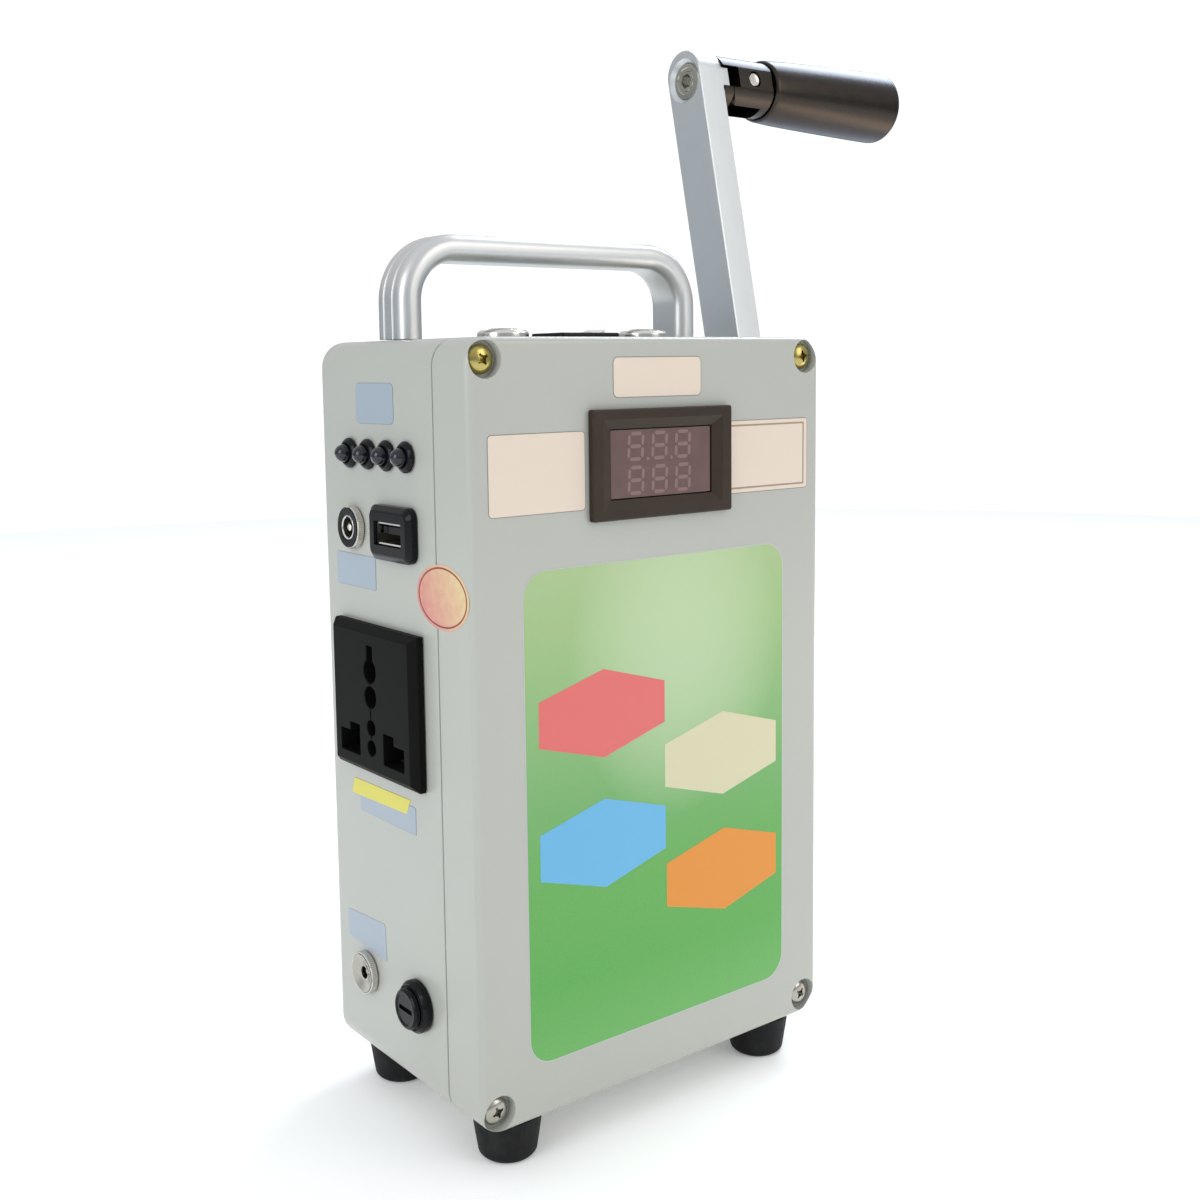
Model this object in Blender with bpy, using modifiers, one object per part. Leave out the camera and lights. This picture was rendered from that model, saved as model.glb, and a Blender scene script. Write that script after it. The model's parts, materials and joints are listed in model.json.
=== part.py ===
"""Hand crank generator: a grey box with a panel meter, sockets, a carry handle and a folding crank.

X points to the crank side, -Y to the meter, Z up. Sizes are in metres.
The box's own frame starts at the middle of its underside.
"""

import math

import bmesh
import bpy
from mathutils import Matrix, Vector

MM = 0.001

# Clearances and cutting
GAP = 0.3 * MM
OVERRUN = 2 * MM
WELD = 0.001 * MM
SIDES = 20
FINE_SIDES = 28
COARSE_SIDES = 12

# Box
CASE_WIDTH = 120 * MM
CASE_DEPTH = 75 * MM
CASE_HEIGHT = 200 * MM
CASE_WALL = 3 * MM
CORNER_RADIUS = 7 * MM
REAR_RADIUS = 3 * MM
FRONT_RADIUS = 1.8 * MM
SEAM_CHAMFER = 0.4 * MM
LID_DEPTH = 15.8 * MM
GASKET_WIDTH = 1.2 * MM
GASKET_HEIGHT = 1.6 * MM

# Lid screws
SCREW_INSET = 5.4 * MM
SCREW_RECESS_RADIUS = 4.6 * MM
SCREW_RECESS_DEPTH = 3.2 * MM
SCREW_HEAD_RADIUS = 4.0 * MM
SCREW_HEAD_HEIGHT = 2.4 * MM
SCREW_SHANK_RADIUS = 1.7 * MM
SCREW_GRIP = 10 * MM
SCREW_CROSS_WIDTH = 0.9 * MM
SCREW_CROSS_LENGTH = 4.4 * MM
SCREW_CROSS_DEPTH = 1.2 * MM
PILLAR_RADIUS = 5.9 * MM
POST_RADIUS = 4.6 * MM
POST_LENGTH = 22 * MM

# Feet
FOOT_HEIGHT = 12 * MM
FOOT_TOP_RADIUS = 9.4 * MM
FOOT_SOLE_RADIUS = 7.6 * MM
FOOT_ROUND = 1.2 * MM
FOOT_INSET_X = 14.5 * MM
FOOT_INSET_Y = 10.5 * MM
FOOT_RECESS_RADIUS = 3.6 * MM
FOOT_RECESS_DEPTH = 2 * MM
FOOT_PEG_RADIUS = 2.2 * MM
FOOT_BARB_RADIUS = 2.9 * MM
FOOT_BARB_HEIGHT = 2.6 * MM

# Carry handle
HANDLE_SPAN = 104 * MM
HANDLE_RISE = 28.3 * MM
HANDLE_THICKNESS = 7.3 * MM
HANDLE_BREADTH = 14.5 * MM
HANDLE_BEND_RADIUS = 18 * MM
HANDLE_EDGE_RADIUS = 3.2 * MM
HANDLE_SET_BACK = 12.2 * MM
HANDLE_GROOVE_WIDTH = 1.1 * MM
HANDLE_GROOVE_DEPTH = 0.45 * MM
HANDLE_GROOVE_SPACING = 4.4 * MM
HANDLE_SCREW_RADIUS = 2.0 * MM
HANDLE_SCREW_HEAD_RADIUS = 3.6 * MM
HANDLE_SCREW_HEAD_HEIGHT = 2.6 * MM
HANDLE_SCREW_REACH = 11 * MM

# Panel meter
METER_WIDTH = 48 * MM
METER_HEIGHT = 28.5 * MM
METER_PROUD = 2 * MM
METER_DROP = 32.6 * MM
METER_WINDOW_WIDTH = 35 * MM
METER_WINDOW_HEIGHT = 18.2 * MM
METER_SLOPE = 1.2 * MM
METER_CUTOUT_WIDTH = 45 * MM
METER_CUTOUT_HEIGHT = 25.6 * MM
METER_EDGE_CHAMFER = 0.5 * MM
METER_COLLAR_DEPTH = 5 * MM
METER_WINDOW_SET_BACK = 1.5 * MM
METER_WINDOW_THICKNESS = 1.5 * MM
METER_BODY_DEPTH = 16 * MM

# Mains socket
SOCKET_WIDTH = 43 * MM
SOCKET_HEIGHT = 40.6 * MM
SOCKET_PROUD = 4 * MM
SOCKET_CHAMFER = 1.9 * MM
SOCKET_CENTRE_Y = 6.4 * MM
SOCKET_CLEARANCE = 18 * MM
SOCKET_BODY_WIDTH = 37 * MM
SOCKET_BODY_HEIGHT = 35 * MM
SOCKET_BODY_DEPTH = 17 * MM
SOCKET_HOLE_DEPTH = 14 * MM
SOCKET_KEY_RADIUS = 3.2 * MM
SOCKET_KEY_RISE = 8.4 * MM
SOCKET_KEY_SLOT_WIDTH = 3.0 * MM
SOCKET_KEY_SLOT_LENGTH = 6.8 * MM
SOCKET_KEY_WEB = 0.8 * MM
SOCKET_ROUND_RADIUS = 3.0 * MM
SOCKET_ROUND_WEB = 3.2 * MM
SOCKET_PIN_RADIUS = 2.15 * MM
SOCKET_PIN_WEB = 1.2 * MM
SOCKET_BLADE_SPREAD = 11.5 * MM
SOCKET_BLADE_DROP = 11.4 * MM
SOCKET_BLADE_WIDTH = 10.4 * MM
SOCKET_BLADE_TALL = 8.4 * MM
SOCKET_BLADE_LOW = 6.0 * MM
SOCKET_BLADE_CORE = 5.2 * MM

# Lamps
LAMP_COUNT = 4
LAMP_PITCH = 9.73 * MM
LAMP_CENTRE_Y = 5.4 * MM
LAMP_DROP = 29.7 * MM
LAMP_FLANGE_RADIUS = 4.1 * MM
LAMP_FLANGE_THICKNESS = 1.4 * MM
LAMP_BARREL_RADIUS = 3.2 * MM
LAMP_BARREL_LENGTH = 8 * MM
LAMP_RADIUS = 2.4 * MM
LAMP_TIP = 4.8 * MM
LAMP_LENGTH = 11 * MM
LAMP_ROUNDING = 0.9

# Round jacks
JACK_FLANGE_RADIUS = 5.95 * MM
JACK_FLANGE_THICKNESS = 2 * MM
JACK_BARREL_RADIUS = 4.6 * MM
JACK_BARREL_LENGTH = 12 * MM
JACK_BORE_RADIUS = 2.8 * MM
JACK_SLEEVE_RADIUS = 3.4 * MM
JACK_RIM_RADIUS = 5.5 * MM
JACK_FACE_DEPTH = 0.9 * MM
JACK_BORE_DEPTH = 9 * MM
JACK_PIN_RADIUS = 1.0 * MM
OUTPUT_JACK_CLEARANCE = 5.7 * MM
CHARGE_JACK_Y = 18.9 * MM
LOW_ROW_HEIGHT = 25.4 * MM

# USB outlet
USB_WIDTH = 21.2 * MM
USB_HEIGHT = 14.5 * MM
USB_PROUD = 3 * MM
USB_CORNER_RADIUS = 3.2 * MM
USB_CHAMFER = 1.4 * MM
USB_CENTRE_Y = -3.1 * MM
USB_CLEARANCE = 8.6 * MM
USB_BODY_WIDTH = 17.6 * MM
USB_BODY_HEIGHT = 11.4 * MM
USB_BODY_DEPTH = 12 * MM
USB_SHELL_WIDTH = 13 * MM
USB_SHELL_HEIGHT = 5.7 * MM
USB_SHELL_WALL = 0.4 * MM
USB_SHELL_SET_BACK = 0.8 * MM
USB_TONGUE_WIDTH = 10.6 * MM
USB_TONGUE_THICKNESS = 1.8 * MM
USB_TONGUE_SET_BACK = 1.4 * MM

# Fuse holder
FUSE_CLEARANCE = 14.4 * MM
FUSE_FLANGE_RADIUS = 7 * MM
FUSE_FLANGE_THICKNESS = 2.6 * MM
FUSE_BARREL_RADIUS = 5.8 * MM
FUSE_BARREL_LENGTH = 24 * MM
FUSE_BORE_RADIUS = 3.9 * MM
FUSE_BORE_LENGTH = 26 * MM
FUSE_KNOB_RADIUS = 5.4 * MM
FUSE_KNOB_THICKNESS = 1.6 * MM
FUSE_STEM_LENGTH = 4 * MM
FUSE_SLOT_WIDTH = 1.3 * MM
FUSE_SLOT_DEPTH = 0.9 * MM
FUSE_GLASS_RADIUS = 2.6 * MM
FUSE_LENGTH = 20 * MM

# Switches on the top
SWITCH_SET_FORWARD = 1.5 * MM
BUTTON_SPREAD = 24.6 * MM
BUTTON_FLANGE_RADIUS = 7 * MM
BUTTON_FLANGE_THICKNESS = 2.2 * MM
BUTTON_BARREL_RADIUS = 5.6 * MM
BUTTON_BARREL_LENGTH = 14 * MM
BUTTON_RADIUS = 4.5 * MM
BUTTON_PROUD = 3.0 * MM
BUTTON_TRAVEL = 1.5 * MM
BUTTON_STEM_LENGTH = 9 * MM
ROCKER_BEZEL_WIDTH = 20.6 * MM
ROCKER_BEZEL_BREADTH = 14.6 * MM
ROCKER_BEZEL_PROUD = 1.8 * MM
ROCKER_BODY_WIDTH = 18.6 * MM
ROCKER_BODY_BREADTH = 12.4 * MM
ROCKER_BODY_DEPTH = 16 * MM
ROCKER_WIDTH = 14.6 * MM
ROCKER_BREADTH = 8.8 * MM
ROCKER_WELL_DEPTH = 10 * MM
ROCKER_THICKNESS = 3.2 * MM
ROCKER_AXIS_DEPTH = 1.2 * MM
ROCKER_TILT = 9
ROCKER_BEND = 8

# Crank shaft
SHAFT_DROP = 55 * MM
SHAFT_RADIUS = 6 * MM
SHAFT_INNER_END = 31 * MM
SPIGOT_RADIUS = 4 * MM
BUSH_FLANGE_RADIUS = 11 * MM
BUSH_FLANGE_THICKNESS = 2 * MM
BUSH_BARREL_RADIUS = 8.2 * MM
BUSH_BARREL_LENGTH = 9 * MM
ARM_SCREW_RADIUS = 2.4 * MM
ARM_SCREW_LENGTH = 12 * MM
ARM_SCREW_HEAD_RADIUS = 4.3 * MM
ARM_SCREW_HEAD_HEIGHT = 4 * MM
ARM_SCREW_FLANGE_RADIUS = 7 * MM
ARM_SCREW_FLANGE_THICKNESS = 1.5 * MM

# Crank arm
ARM_INNER_FACE = 68 * MM
ARM_THICKNESS = 9.7 * MM
ARM_WIDTH = 15.3 * MM
ARM_REACH = 140.6 * MM
ARM_TILT = 11.73
ARM_CHAMFER = 0.5 * MM
KEY_HEIGHT = 6.2 * MM
KEY_PROUD = 3.1 * MM
PIVOT_SCREW_RADIUS = 2.5 * MM
PIVOT_SCREW_HEAD_RADIUS = 5.6 * MM
PIVOT_SCREW_HEAD_HEIGHT = 3.0 * MM
PIVOT_SINK_DEPTH = 1.0 * MM
PIVOT_SCREW_REACH = 5.5 * MM
PIVOT_SOCKET_RADIUS = 2.4 * MM
PIVOT_SOCKET_DEPTH = 2.0 * MM

# Folding joint of the grip
FOLD_PIN_DISTANCE = 13.8 * MM
FOLD_PIN_RADIUS = 2.3 * MM
YOKE_RADIUS = 9 * MM
YOKE_REACH = 8.2 * MM
YOKE_CAM_RADIUS = 10.4 * MM
YOKE_WINDOW_DEPTH = 3.7 * MM
YOKE_FLAT_DEPTH = 0.5 * MM
TONGUE_THICKNESS = 8 * MM
TONGUE_END_RADIUS = 4.5 * MM
KNUCKLE_DROP = 0.7 * MM

# Grip
GRIP_GROOVE = 0.6 * MM
GRIP_LENGTH = 59.2 * MM
GRIP_NECK_RADIUS = 10 * MM
GRIP_SHOULDER_RADIUS = 11.2 * MM
GRIP_SHOULDER_DISTANCE = 20 * MM
GRIP_END_RADIUS = 12 * MM
GRIP_END_CHAMFER = 1.4 * MM
SPINDLE_RADIUS = 4 * MM
SPINDLE_SEAT = 2.4 * MM
GRIP_SINK_RADIUS = 6.2 * MM
GRIP_SINK_DEPTH = 6 * MM
GRIP_SCREW_HEAD_RADIUS = 5.6 * MM
GRIP_SCREW_HEAD_HEIGHT = 3 * MM
GRIP_SCREW_RADIUS = 2.2 * MM
GRIP_SCREW_LENGTH = 10 * MM

# Gear train
GEAR_MODULE = 1 * MM
PRESSURE_ANGLE = 25
ADDENDUM_SHARE = 0.85
DEDENDUM_SHARE = 1.2
BACKLASH = 0.22 * MM
DRIVE_TEETH = 56
PINION_TEETH = 12
IDLER_TEETH = 48
DRIVE_GEAR_X = 40 * MM
DRIVE_GEAR_WIDTH = 6 * MM
DRIVE_HUB_RADIUS = 10 * MM
DRIVE_HUB_LENGTH = 3 * MM
STAGE_SPACE = 1 * MM
IDLER_GEAR_WIDTH = 5 * MM
IDLER_PIN_RADIUS = 2.5 * MM
PLATE_THICKNESS = 2 * MM
INNER_PLATE_X = 34 * MM
PLATE_TOP_HALF_WIDTH = 26 * MM
PLATE_FOOT_HALF_WIDTH = 20 * MM
PLATE_TOP_MARGIN = 14 * MM
PLATE_POST_RADIUS = 3.5 * MM
PLATE_POST_INSET = 4.5 * MM

# Generator
GENERATOR_RADIUS = 21 * MM
GENERATOR_LENGTH = 38 * MM
GENERATOR_WALL = 2.5 * MM
ROTOR_RADIUS = 15.5 * MM
ROTOR_END_PLAY = 2 * MM
ROTOR_SHAFT_RADIUS = 2 * MM

# Battery and electronics
CELL_COUNT = 4
CELL_RADIUS = 9.2 * MM
CELL_LENGTH = 65 * MM
CELL_SLEEVE_SHARE = 0.7
BOARD_THICKNESS = 1.6 * MM
BOARD_STAND_OFF = 3 * MM
BOARD_WIDTH = 64 * MM
BOARD_HEIGHT = 84 * MM
BOARD_CLEARANCE = 6.3 * MM
BOARD_SPACER_RADIUS = 3 * MM
BOARD_SPACER_INSET = 5 * MM
TRANSFORMER_WIDTH = 26 * MM
TRANSFORMER_DEPTH = 20 * MM
TRANSFORMER_HEIGHT = 22 * MM
TRANSFORMER_CHAMFER = 1.5 * MM

# Places that follow from the sizes above
HALF_WIDTH = CASE_WIDTH / 2
HALF_DEPTH = CASE_DEPTH / 2
SEAM_Y = LID_DEPTH - HALF_DEPTH
INNER_TOP = CASE_HEIGHT - CASE_WALL
ARM_OUTER_FACE = ARM_INNER_FACE + ARM_THICKNESS
FOLD_PIN_X = ARM_OUTER_FACE + FOLD_PIN_DISTANCE
GRIP_START = YOKE_REACH + GRIP_GROOVE
GRIP_END = GRIP_START + GRIP_LENGTH
SHAFT_STEP = ARM_INNER_FACE - GAP
SHAFT_HEIGHT = CASE_HEIGHT - SHAFT_DROP
OUTER_PLATE_X = HALF_WIDTH - CASE_WALL - GAP - PLATE_THICKNESS
IDLER_HEIGHT = SHAFT_HEIGHT - GEAR_MODULE * (DRIVE_TEETH + PINION_TEETH) / 2
ROTOR_HEIGHT = IDLER_HEIGHT - GEAR_MODULE * (IDLER_TEETH + PINION_TEETH) / 2
DRIVE_GEAR_END = DRIVE_GEAR_X + DRIVE_GEAR_WIDTH
IDLER_GEAR_X = DRIVE_GEAR_END + STAGE_SPACE
IDLER_GEAR_END = IDLER_GEAR_X + IDLER_GEAR_WIDTH
GENERATOR_END = INNER_PLATE_X - GAP
GENERATOR_X = GENERATOR_END - GENERATOR_LENGTH
LEFT_REACH = -(HALF_WIDTH + LAMP_TIP)
RIGHT_REACH = FOLD_PIN_X + GRIP_END
FRONT_REACH = -(HALF_DEPTH + METER_PROUD)
REAR_REACH = ARM_REACH * math.sin(math.radians(ARM_TILT)) + GRIP_END_RADIUS

PLATE_LOW = ROTOR_HEIGHT - GENERATOR_RADIUS
PLATE_HIGH = CASE_HEIGHT - PLATE_TOP_MARGIN
CELL_TOP = CASE_WALL + GAP + 2 * CELL_RADIUS
BOARD_LOW = CELL_TOP + BOARD_CLEARANCE

# Rows on the lid and on the left wall, from the top down
METER_CENTRE_HEIGHT = CASE_HEIGHT - METER_DROP
LAMP_HEIGHT = CASE_HEIGHT - LAMP_DROP
OUTLET_HEIGHT = LAMP_HEIGHT - LAMP_FLANGE_RADIUS - USB_CLEARANCE - USB_HEIGHT / 2
SOCKET_CENTRE_HEIGHT = OUTLET_HEIGHT - USB_HEIGHT / 2 - SOCKET_CLEARANCE - SOCKET_HEIGHT / 2
OUTPUT_JACK_Y = USB_CENTRE_Y + USB_WIDTH / 2 + OUTPUT_JACK_CLEARANCE + JACK_FLANGE_RADIUS
FUSE_Y = CHARGE_JACK_Y - JACK_FLANGE_RADIUS - FUSE_CLEARANCE - FUSE_FLANGE_RADIUS

# Colours: base colour, roughness, metallic
FINISHES = {
    "case_plastic": ((0.70, 0.73, 0.74), 0.42, 0.0),
    "black_plastic": ((0.025, 0.025, 0.027), 0.40, 0.0),
    "white_plastic": ((0.82, 0.82, 0.79), 0.40, 0.0),
    "smoked_window": ((0.20, 0.08, 0.08), 0.12, 0.0),
    "foot_rubber": ((0.022, 0.021, 0.022), 0.62, 0.0),
    "aluminium": ((0.78, 0.79, 0.80), 0.34, 1.0),
    "black_anodised": ((0.035, 0.034, 0.034), 0.24, 0.9),
    "steel": ((0.62, 0.62, 0.60), 0.30, 1.0),
    "nickel": ((0.75, 0.74, 0.70), 0.22, 1.0),
    "brass": ((0.75, 0.58, 0.28), 0.30, 1.0),
    "lamp_plastic": ((0.75, 0.72, 0.62), 0.15, 0.0),
    "fuse_glass": ((0.80, 0.85, 0.86), 0.08, 0.0),
    "gear_plastic": ((0.85, 0.84, 0.78), 0.45, 0.0),
    "cell_sleeve": ((0.10, 0.25, 0.55), 0.35, 0.0),
    "circuit_board": ((0.05, 0.28, 0.12), 0.45, 0.0),
}


def clear_scene():
    for old in list(bpy.data.objects):
        bpy.data.objects.remove(old, do_unlink=True)


def new_collection(name):
    collection = bpy.data.collections.new(name)
    bpy.context.scene.collection.children.link(collection)
    return collection


clear_scene()
PARTS = new_collection("hand_crank_generator")
CUTTERS = new_collection("cutters")


def finish(name):
    """The Principled material of one finish, made once."""
    if name in bpy.data.materials:
        return bpy.data.materials[name]
    colour, roughness, metallic = FINISHES[name]
    material = bpy.data.materials.new(name)
    material.use_nodes = True
    shader = material.node_tree.nodes["Principled BSDF"]
    shader.inputs["Base Color"].default_value = (*colour, 1)
    shader.inputs["Roughness"].default_value = roughness
    shader.inputs["Metallic"].default_value = metallic
    return material


def joint_frame(name, place, parent=None, turn_x=0.0, turn_y=0.0):
    """An empty at a joint's axis, or at the root of the part."""
    frame = bpy.data.objects.new(name, None)
    frame.location = place
    frame.rotation_euler = (turn_x, turn_y, 0)
    frame.parent = parent
    PARTS.objects.link(frame)
    return frame


MIDDLE_X = -(LEFT_REACH + RIGHT_REACH) / 2
MIDDLE_Y = -(FRONT_REACH + REAR_REACH) / 2
BOX = joint_frame("box_frame", (MIDDLE_X, MIDDLE_Y, FOOT_HEIGHT))
CRANK = joint_frame("crank_axis", (0, 0, SHAFT_HEIGHT), BOX, turn_x=-math.radians(ARM_TILT))
IDLER = joint_frame("idler_axis", (0, 0, IDLER_HEIGHT), BOX)
ROTOR = joint_frame("rotor_axis", (0, 0, ROTOR_HEIGHT), BOX)
FOLD = joint_frame("fold_axis", (FOLD_PIN_X, 0, ARM_REACH), CRANK)
GRIP = joint_frame("grip_axis", (0, 0, 0), FOLD)
ROCKER_TOP = CASE_HEIGHT + ROCKER_BEZEL_PROUD
ROCKER_AXIS = joint_frame(
    "rocker_axis",
    (0, -SWITCH_SET_FORWARD, ROCKER_TOP - ROCKER_AXIS_DEPTH),
    BOX,
    turn_y=-math.radians(ROCKER_TILT),
)

# Making solids

AXIS_TURN = {
    "X": Matrix.Rotation(math.radians(90), 4, "Y"),
    "Y": Matrix.Rotation(math.radians(-90), 4, "X"),
    "Z": Matrix.Identity(4),
}


def add_block(bm, low, high):
    """A box between two corners."""
    size = Vector(high) - Vector(low)
    middle = (Vector(high) + Vector(low)) / 2
    matrix = Matrix.Translation(middle) @ Matrix.Diagonal((*size, 1))
    bmesh.ops.create_cube(bm, size=1, matrix=matrix)
    return bm


def add_rod(bm, axis, low, high, radius, place=(0, 0, 0), sides=SIDES, high_radius=None):
    """A cylinder or cone along an axis, from low to high. The place gives its other two coordinates."""
    middle = Vector(place)
    middle["XYZ".index(axis)] = (low + high) / 2
    bmesh.ops.create_cone(
        bm,
        cap_ends=True,
        segments=sides,
        radius1=radius,
        radius2=radius if high_radius is None else high_radius,
        depth=high - low,
        matrix=Matrix.Translation(middle) @ AXIS_TURN[axis],
    )
    return bm


def bevel_where(bm, chosen, width, steps):
    """Round the edges for which chosen(edge) holds."""
    edges = [edge for edge in bm.edges if chosen(edge)]
    bmesh.ops.bevel(bm, geom=edges, offset=width, segments=steps, profile=0.5, affect="EDGES")
    return bm


def runs_along(axis):
    """A test for edges parallel to an axis."""
    index = "XYZ".index(axis)

    def test(edge):
        run = edge.verts[1].co - edge.verts[0].co
        return abs(run[index]) > 0.999 * run.length

    return test


def lies_at(axis, value):
    """A test for edges with both ends on a plane square to an axis."""
    index = "XYZ".index(axis)
    return lambda edge: all(abs(vert.co[index] - value) < WELD for vert in edge.verts)


def store(bm, name, collection, parent):
    mesh = bpy.data.meshes.new(name)
    bmesh.ops.recalc_face_normals(bm, faces=bm.faces)
    bm.to_mesh(mesh)
    bm.free()
    mesh.shade_smooth()
    mesh.set_sharp_from_angle(angle=math.radians(35))
    obj = bpy.data.objects.new(name, mesh)
    obj.parent = parent
    collection.objects.link(obj)
    return obj


def piece(name, bm, material, parent=BOX):
    """A finished sub-part from a bmesh in its parent's frame."""
    obj = store(bm, name, PARTS, parent)
    obj.data.materials.append(finish(material))
    return obj


def cutter(name, bm, parent=BOX):
    """A solid that only cuts or joins others."""
    obj = store(bm, name, CUTTERS, parent)
    obj.hide_render = True
    obj.display_type = "WIRE"
    return obj


def combine(target, tool, operation="DIFFERENCE"):
    modifier = target.modifiers.new(tool.name, "BOOLEAN")
    modifier.operation = operation
    modifier.object = tool
    modifier.solver = "EXACT"
    return target


def turned(name, profile, material, parent=BOX, axis="X", place=(0, 0, 0), sides=SIDES):
    """A lathe form. The profile is (along, radius) pairs, down the outer side from high to low."""
    order = {"X": (0, 1, 2), "Y": (2, 0, 1), "Z": (1, 2, 0)}[axis]
    points = []
    for along, radius in profile:
        pair = (along, radius, 0)
        points.append([pair[index] for index in order])
    closed = profile[0][1] > 0
    edges = [(index, index + 1) for index in range(len(points) - 1)]
    if closed:
        edges.append((len(points) - 1, 0))
    mesh = bpy.data.meshes.new(name)
    mesh.from_pydata(points, edges, [])
    mesh.materials.append(finish(material))
    obj = bpy.data.objects.new(name, mesh)
    obj.parent = parent
    obj.location = place
    PARTS.objects.link(obj)
    screw = obj.modifiers.new("turn", "SCREW")
    screw.axis = axis
    screw.steps = sides
    screw.render_steps = sides
    screw.use_merge_vertices = True
    screw.merge_threshold = WELD
    screw.use_smooth_shade = True
    return obj


def arc(middle, radius, start, end, steps):
    """Points on an arc, angles in degrees, both ends included."""
    points = []
    for index in range(steps + 1):
        angle = math.radians(start + (end - start) * index / steps)
        points.append((middle[0] + radius * math.cos(angle), middle[1] + radius * math.sin(angle)))
    return points


def rounded_rectangle(middle, width, height, radius, steps=4):
    u, v = width / 2 - radius, height / 2 - radius
    points = []
    for side_u, side_v, start in ((1, 1, 0), (-1, 1, 90), (-1, -1, 180), (1, -1, 270)):
        points += arc((middle[0] + side_u * u, middle[1] + side_v * v), radius, start, start + 90, steps)
    return points


PLATE_TURN = {
    "X": Matrix(((0, 0, 1, 0), (1, 0, 0, 0), (0, 1, 0, 0), (0, 0, 0, 1))),
    "Y": Matrix(((1, 0, 0, 0), (0, 0, -1, 0), (0, 1, 0, 0), (0, 0, 0, 1))),
    "Z": Matrix.Identity(4),
}


def solid_of_curve(curve, matrix, bm):
    """The closed mesh of a curve, its caps welded, added to a bmesh."""
    guide = bpy.data.objects.new(curve.name, curve)
    CUTTERS.objects.link(guide)
    graph = bpy.context.evaluated_depsgraph_get()
    mesh = bpy.data.meshes.new_from_object(guide.evaluated_get(graph))
    bpy.data.objects.remove(guide)
    bpy.data.curves.remove(curve)
    mesh.transform(matrix)
    own = bmesh.new()
    own.from_mesh(mesh)
    bmesh.ops.remove_doubles(own, verts=own.verts, dist=WELD)
    bmesh.ops.dissolve_limit(own, angle_limit=math.radians(0.5), verts=own.verts, edges=own.edges)
    own.to_mesh(mesh)
    own.free()
    bm.from_mesh(mesh)
    bpy.data.meshes.remove(mesh)
    return bm


def add_plate(bm, axis, low, high, *outlines):
    """A flat plate cut to its outlines, the outer one first, square to an axis from low to high."""
    curve = bpy.data.curves.new("outline", "CURVE")
    curve.dimensions = "2D"
    curve.fill_mode = "BOTH"
    curve.extrude = (high - low) / 2
    for outline in outlines:
        spline = curve.splines.new("POLY")
        spline.points.add(len(outline) - 1)
        for point, (u, v) in zip(spline.points, outline):
            point.co = (u, v, 0, 1)
        spline.use_cyclic_u = True
    shift = Vector((0, 0, 0))
    shift["XYZ".index(axis)] = (low + high) / 2
    return solid_of_curve(curve, Matrix.Translation(shift) @ PLATE_TURN[axis], bm)


def mirrored_places(u, v):
    """The four places that two distances give."""
    return [(side_u * u, side_v * v) for side_v in (-1, 1) for side_u in (-1, 1)]


# Box

SCREW_PLACES = [
    (x, height)
    for height in (SCREW_INSET, CASE_HEIGHT - SCREW_INSET)
    for x in (-(HALF_WIDTH - SCREW_INSET), HALF_WIDTH - SCREW_INSET)
]
SCREW_NAMES = ("low_left", "low_right", "high_left", "high_right")
SCREW_TURNS = (20, 55, 35, 10)
FOOT_PLACES = mirrored_places(HALF_WIDTH - FOOT_INSET_X, HALF_DEPTH - FOOT_INSET_Y)
HANDLE_LEG_X = (HANDLE_SPAN - HANDLE_THICKNESS) / 2
LAMP_PLACES = [
    LAMP_CENTRE_Y + LAMP_PITCH * (index - (LAMP_COUNT - 1) / 2) for index in range(LAMP_COUNT)
]
JACKS = {
    "dc_out": (OUTPUT_JACK_Y, OUTLET_HEIGHT),
    "charge": (CHARGE_JACK_Y, LOW_ROW_HEIGHT),
}
LEFT_FACE = -HALF_WIDTH
LEFT_OUT = LEFT_FACE - OVERRUN
LEFT_IN = LEFT_FACE + CASE_WALL + OVERRUN


def case_block(front, rear, shrink):
    """A block with the box's outline, drawn in by shrink, its long corners rounded."""
    bm = bmesh.new()
    add_block(
        bm,
        (shrink - HALF_WIDTH, front, shrink),
        (HALF_WIDTH - shrink, rear, CASE_HEIGHT - shrink),
    )
    return bevel_where(bm, runs_along("Y"), CORNER_RADIUS - shrink, 4)


def case_cavity(name, front, rear, post_radius, post_front, post_rear):
    """The room inside one half of the box, less the corner posts that stand in it."""
    cavity = cutter(name, case_block(front, rear, CASE_WALL))
    posts = bmesh.new()
    for x, height in SCREW_PLACES:
        add_rod(posts, "Y", post_front, post_rear, post_radius, (x, 0, height), COARSE_SIDES)
    return combine(cavity, cutter(name + "_posts", posts))


def add_peg_holes(bm, places):
    for x, y in places:
        add_rod(bm, "Z", -OVERRUN, CASE_WALL + OVERRUN, FOOT_PEG_RADIUS + GAP, (x, y, 0), COARSE_SIDES)


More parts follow.
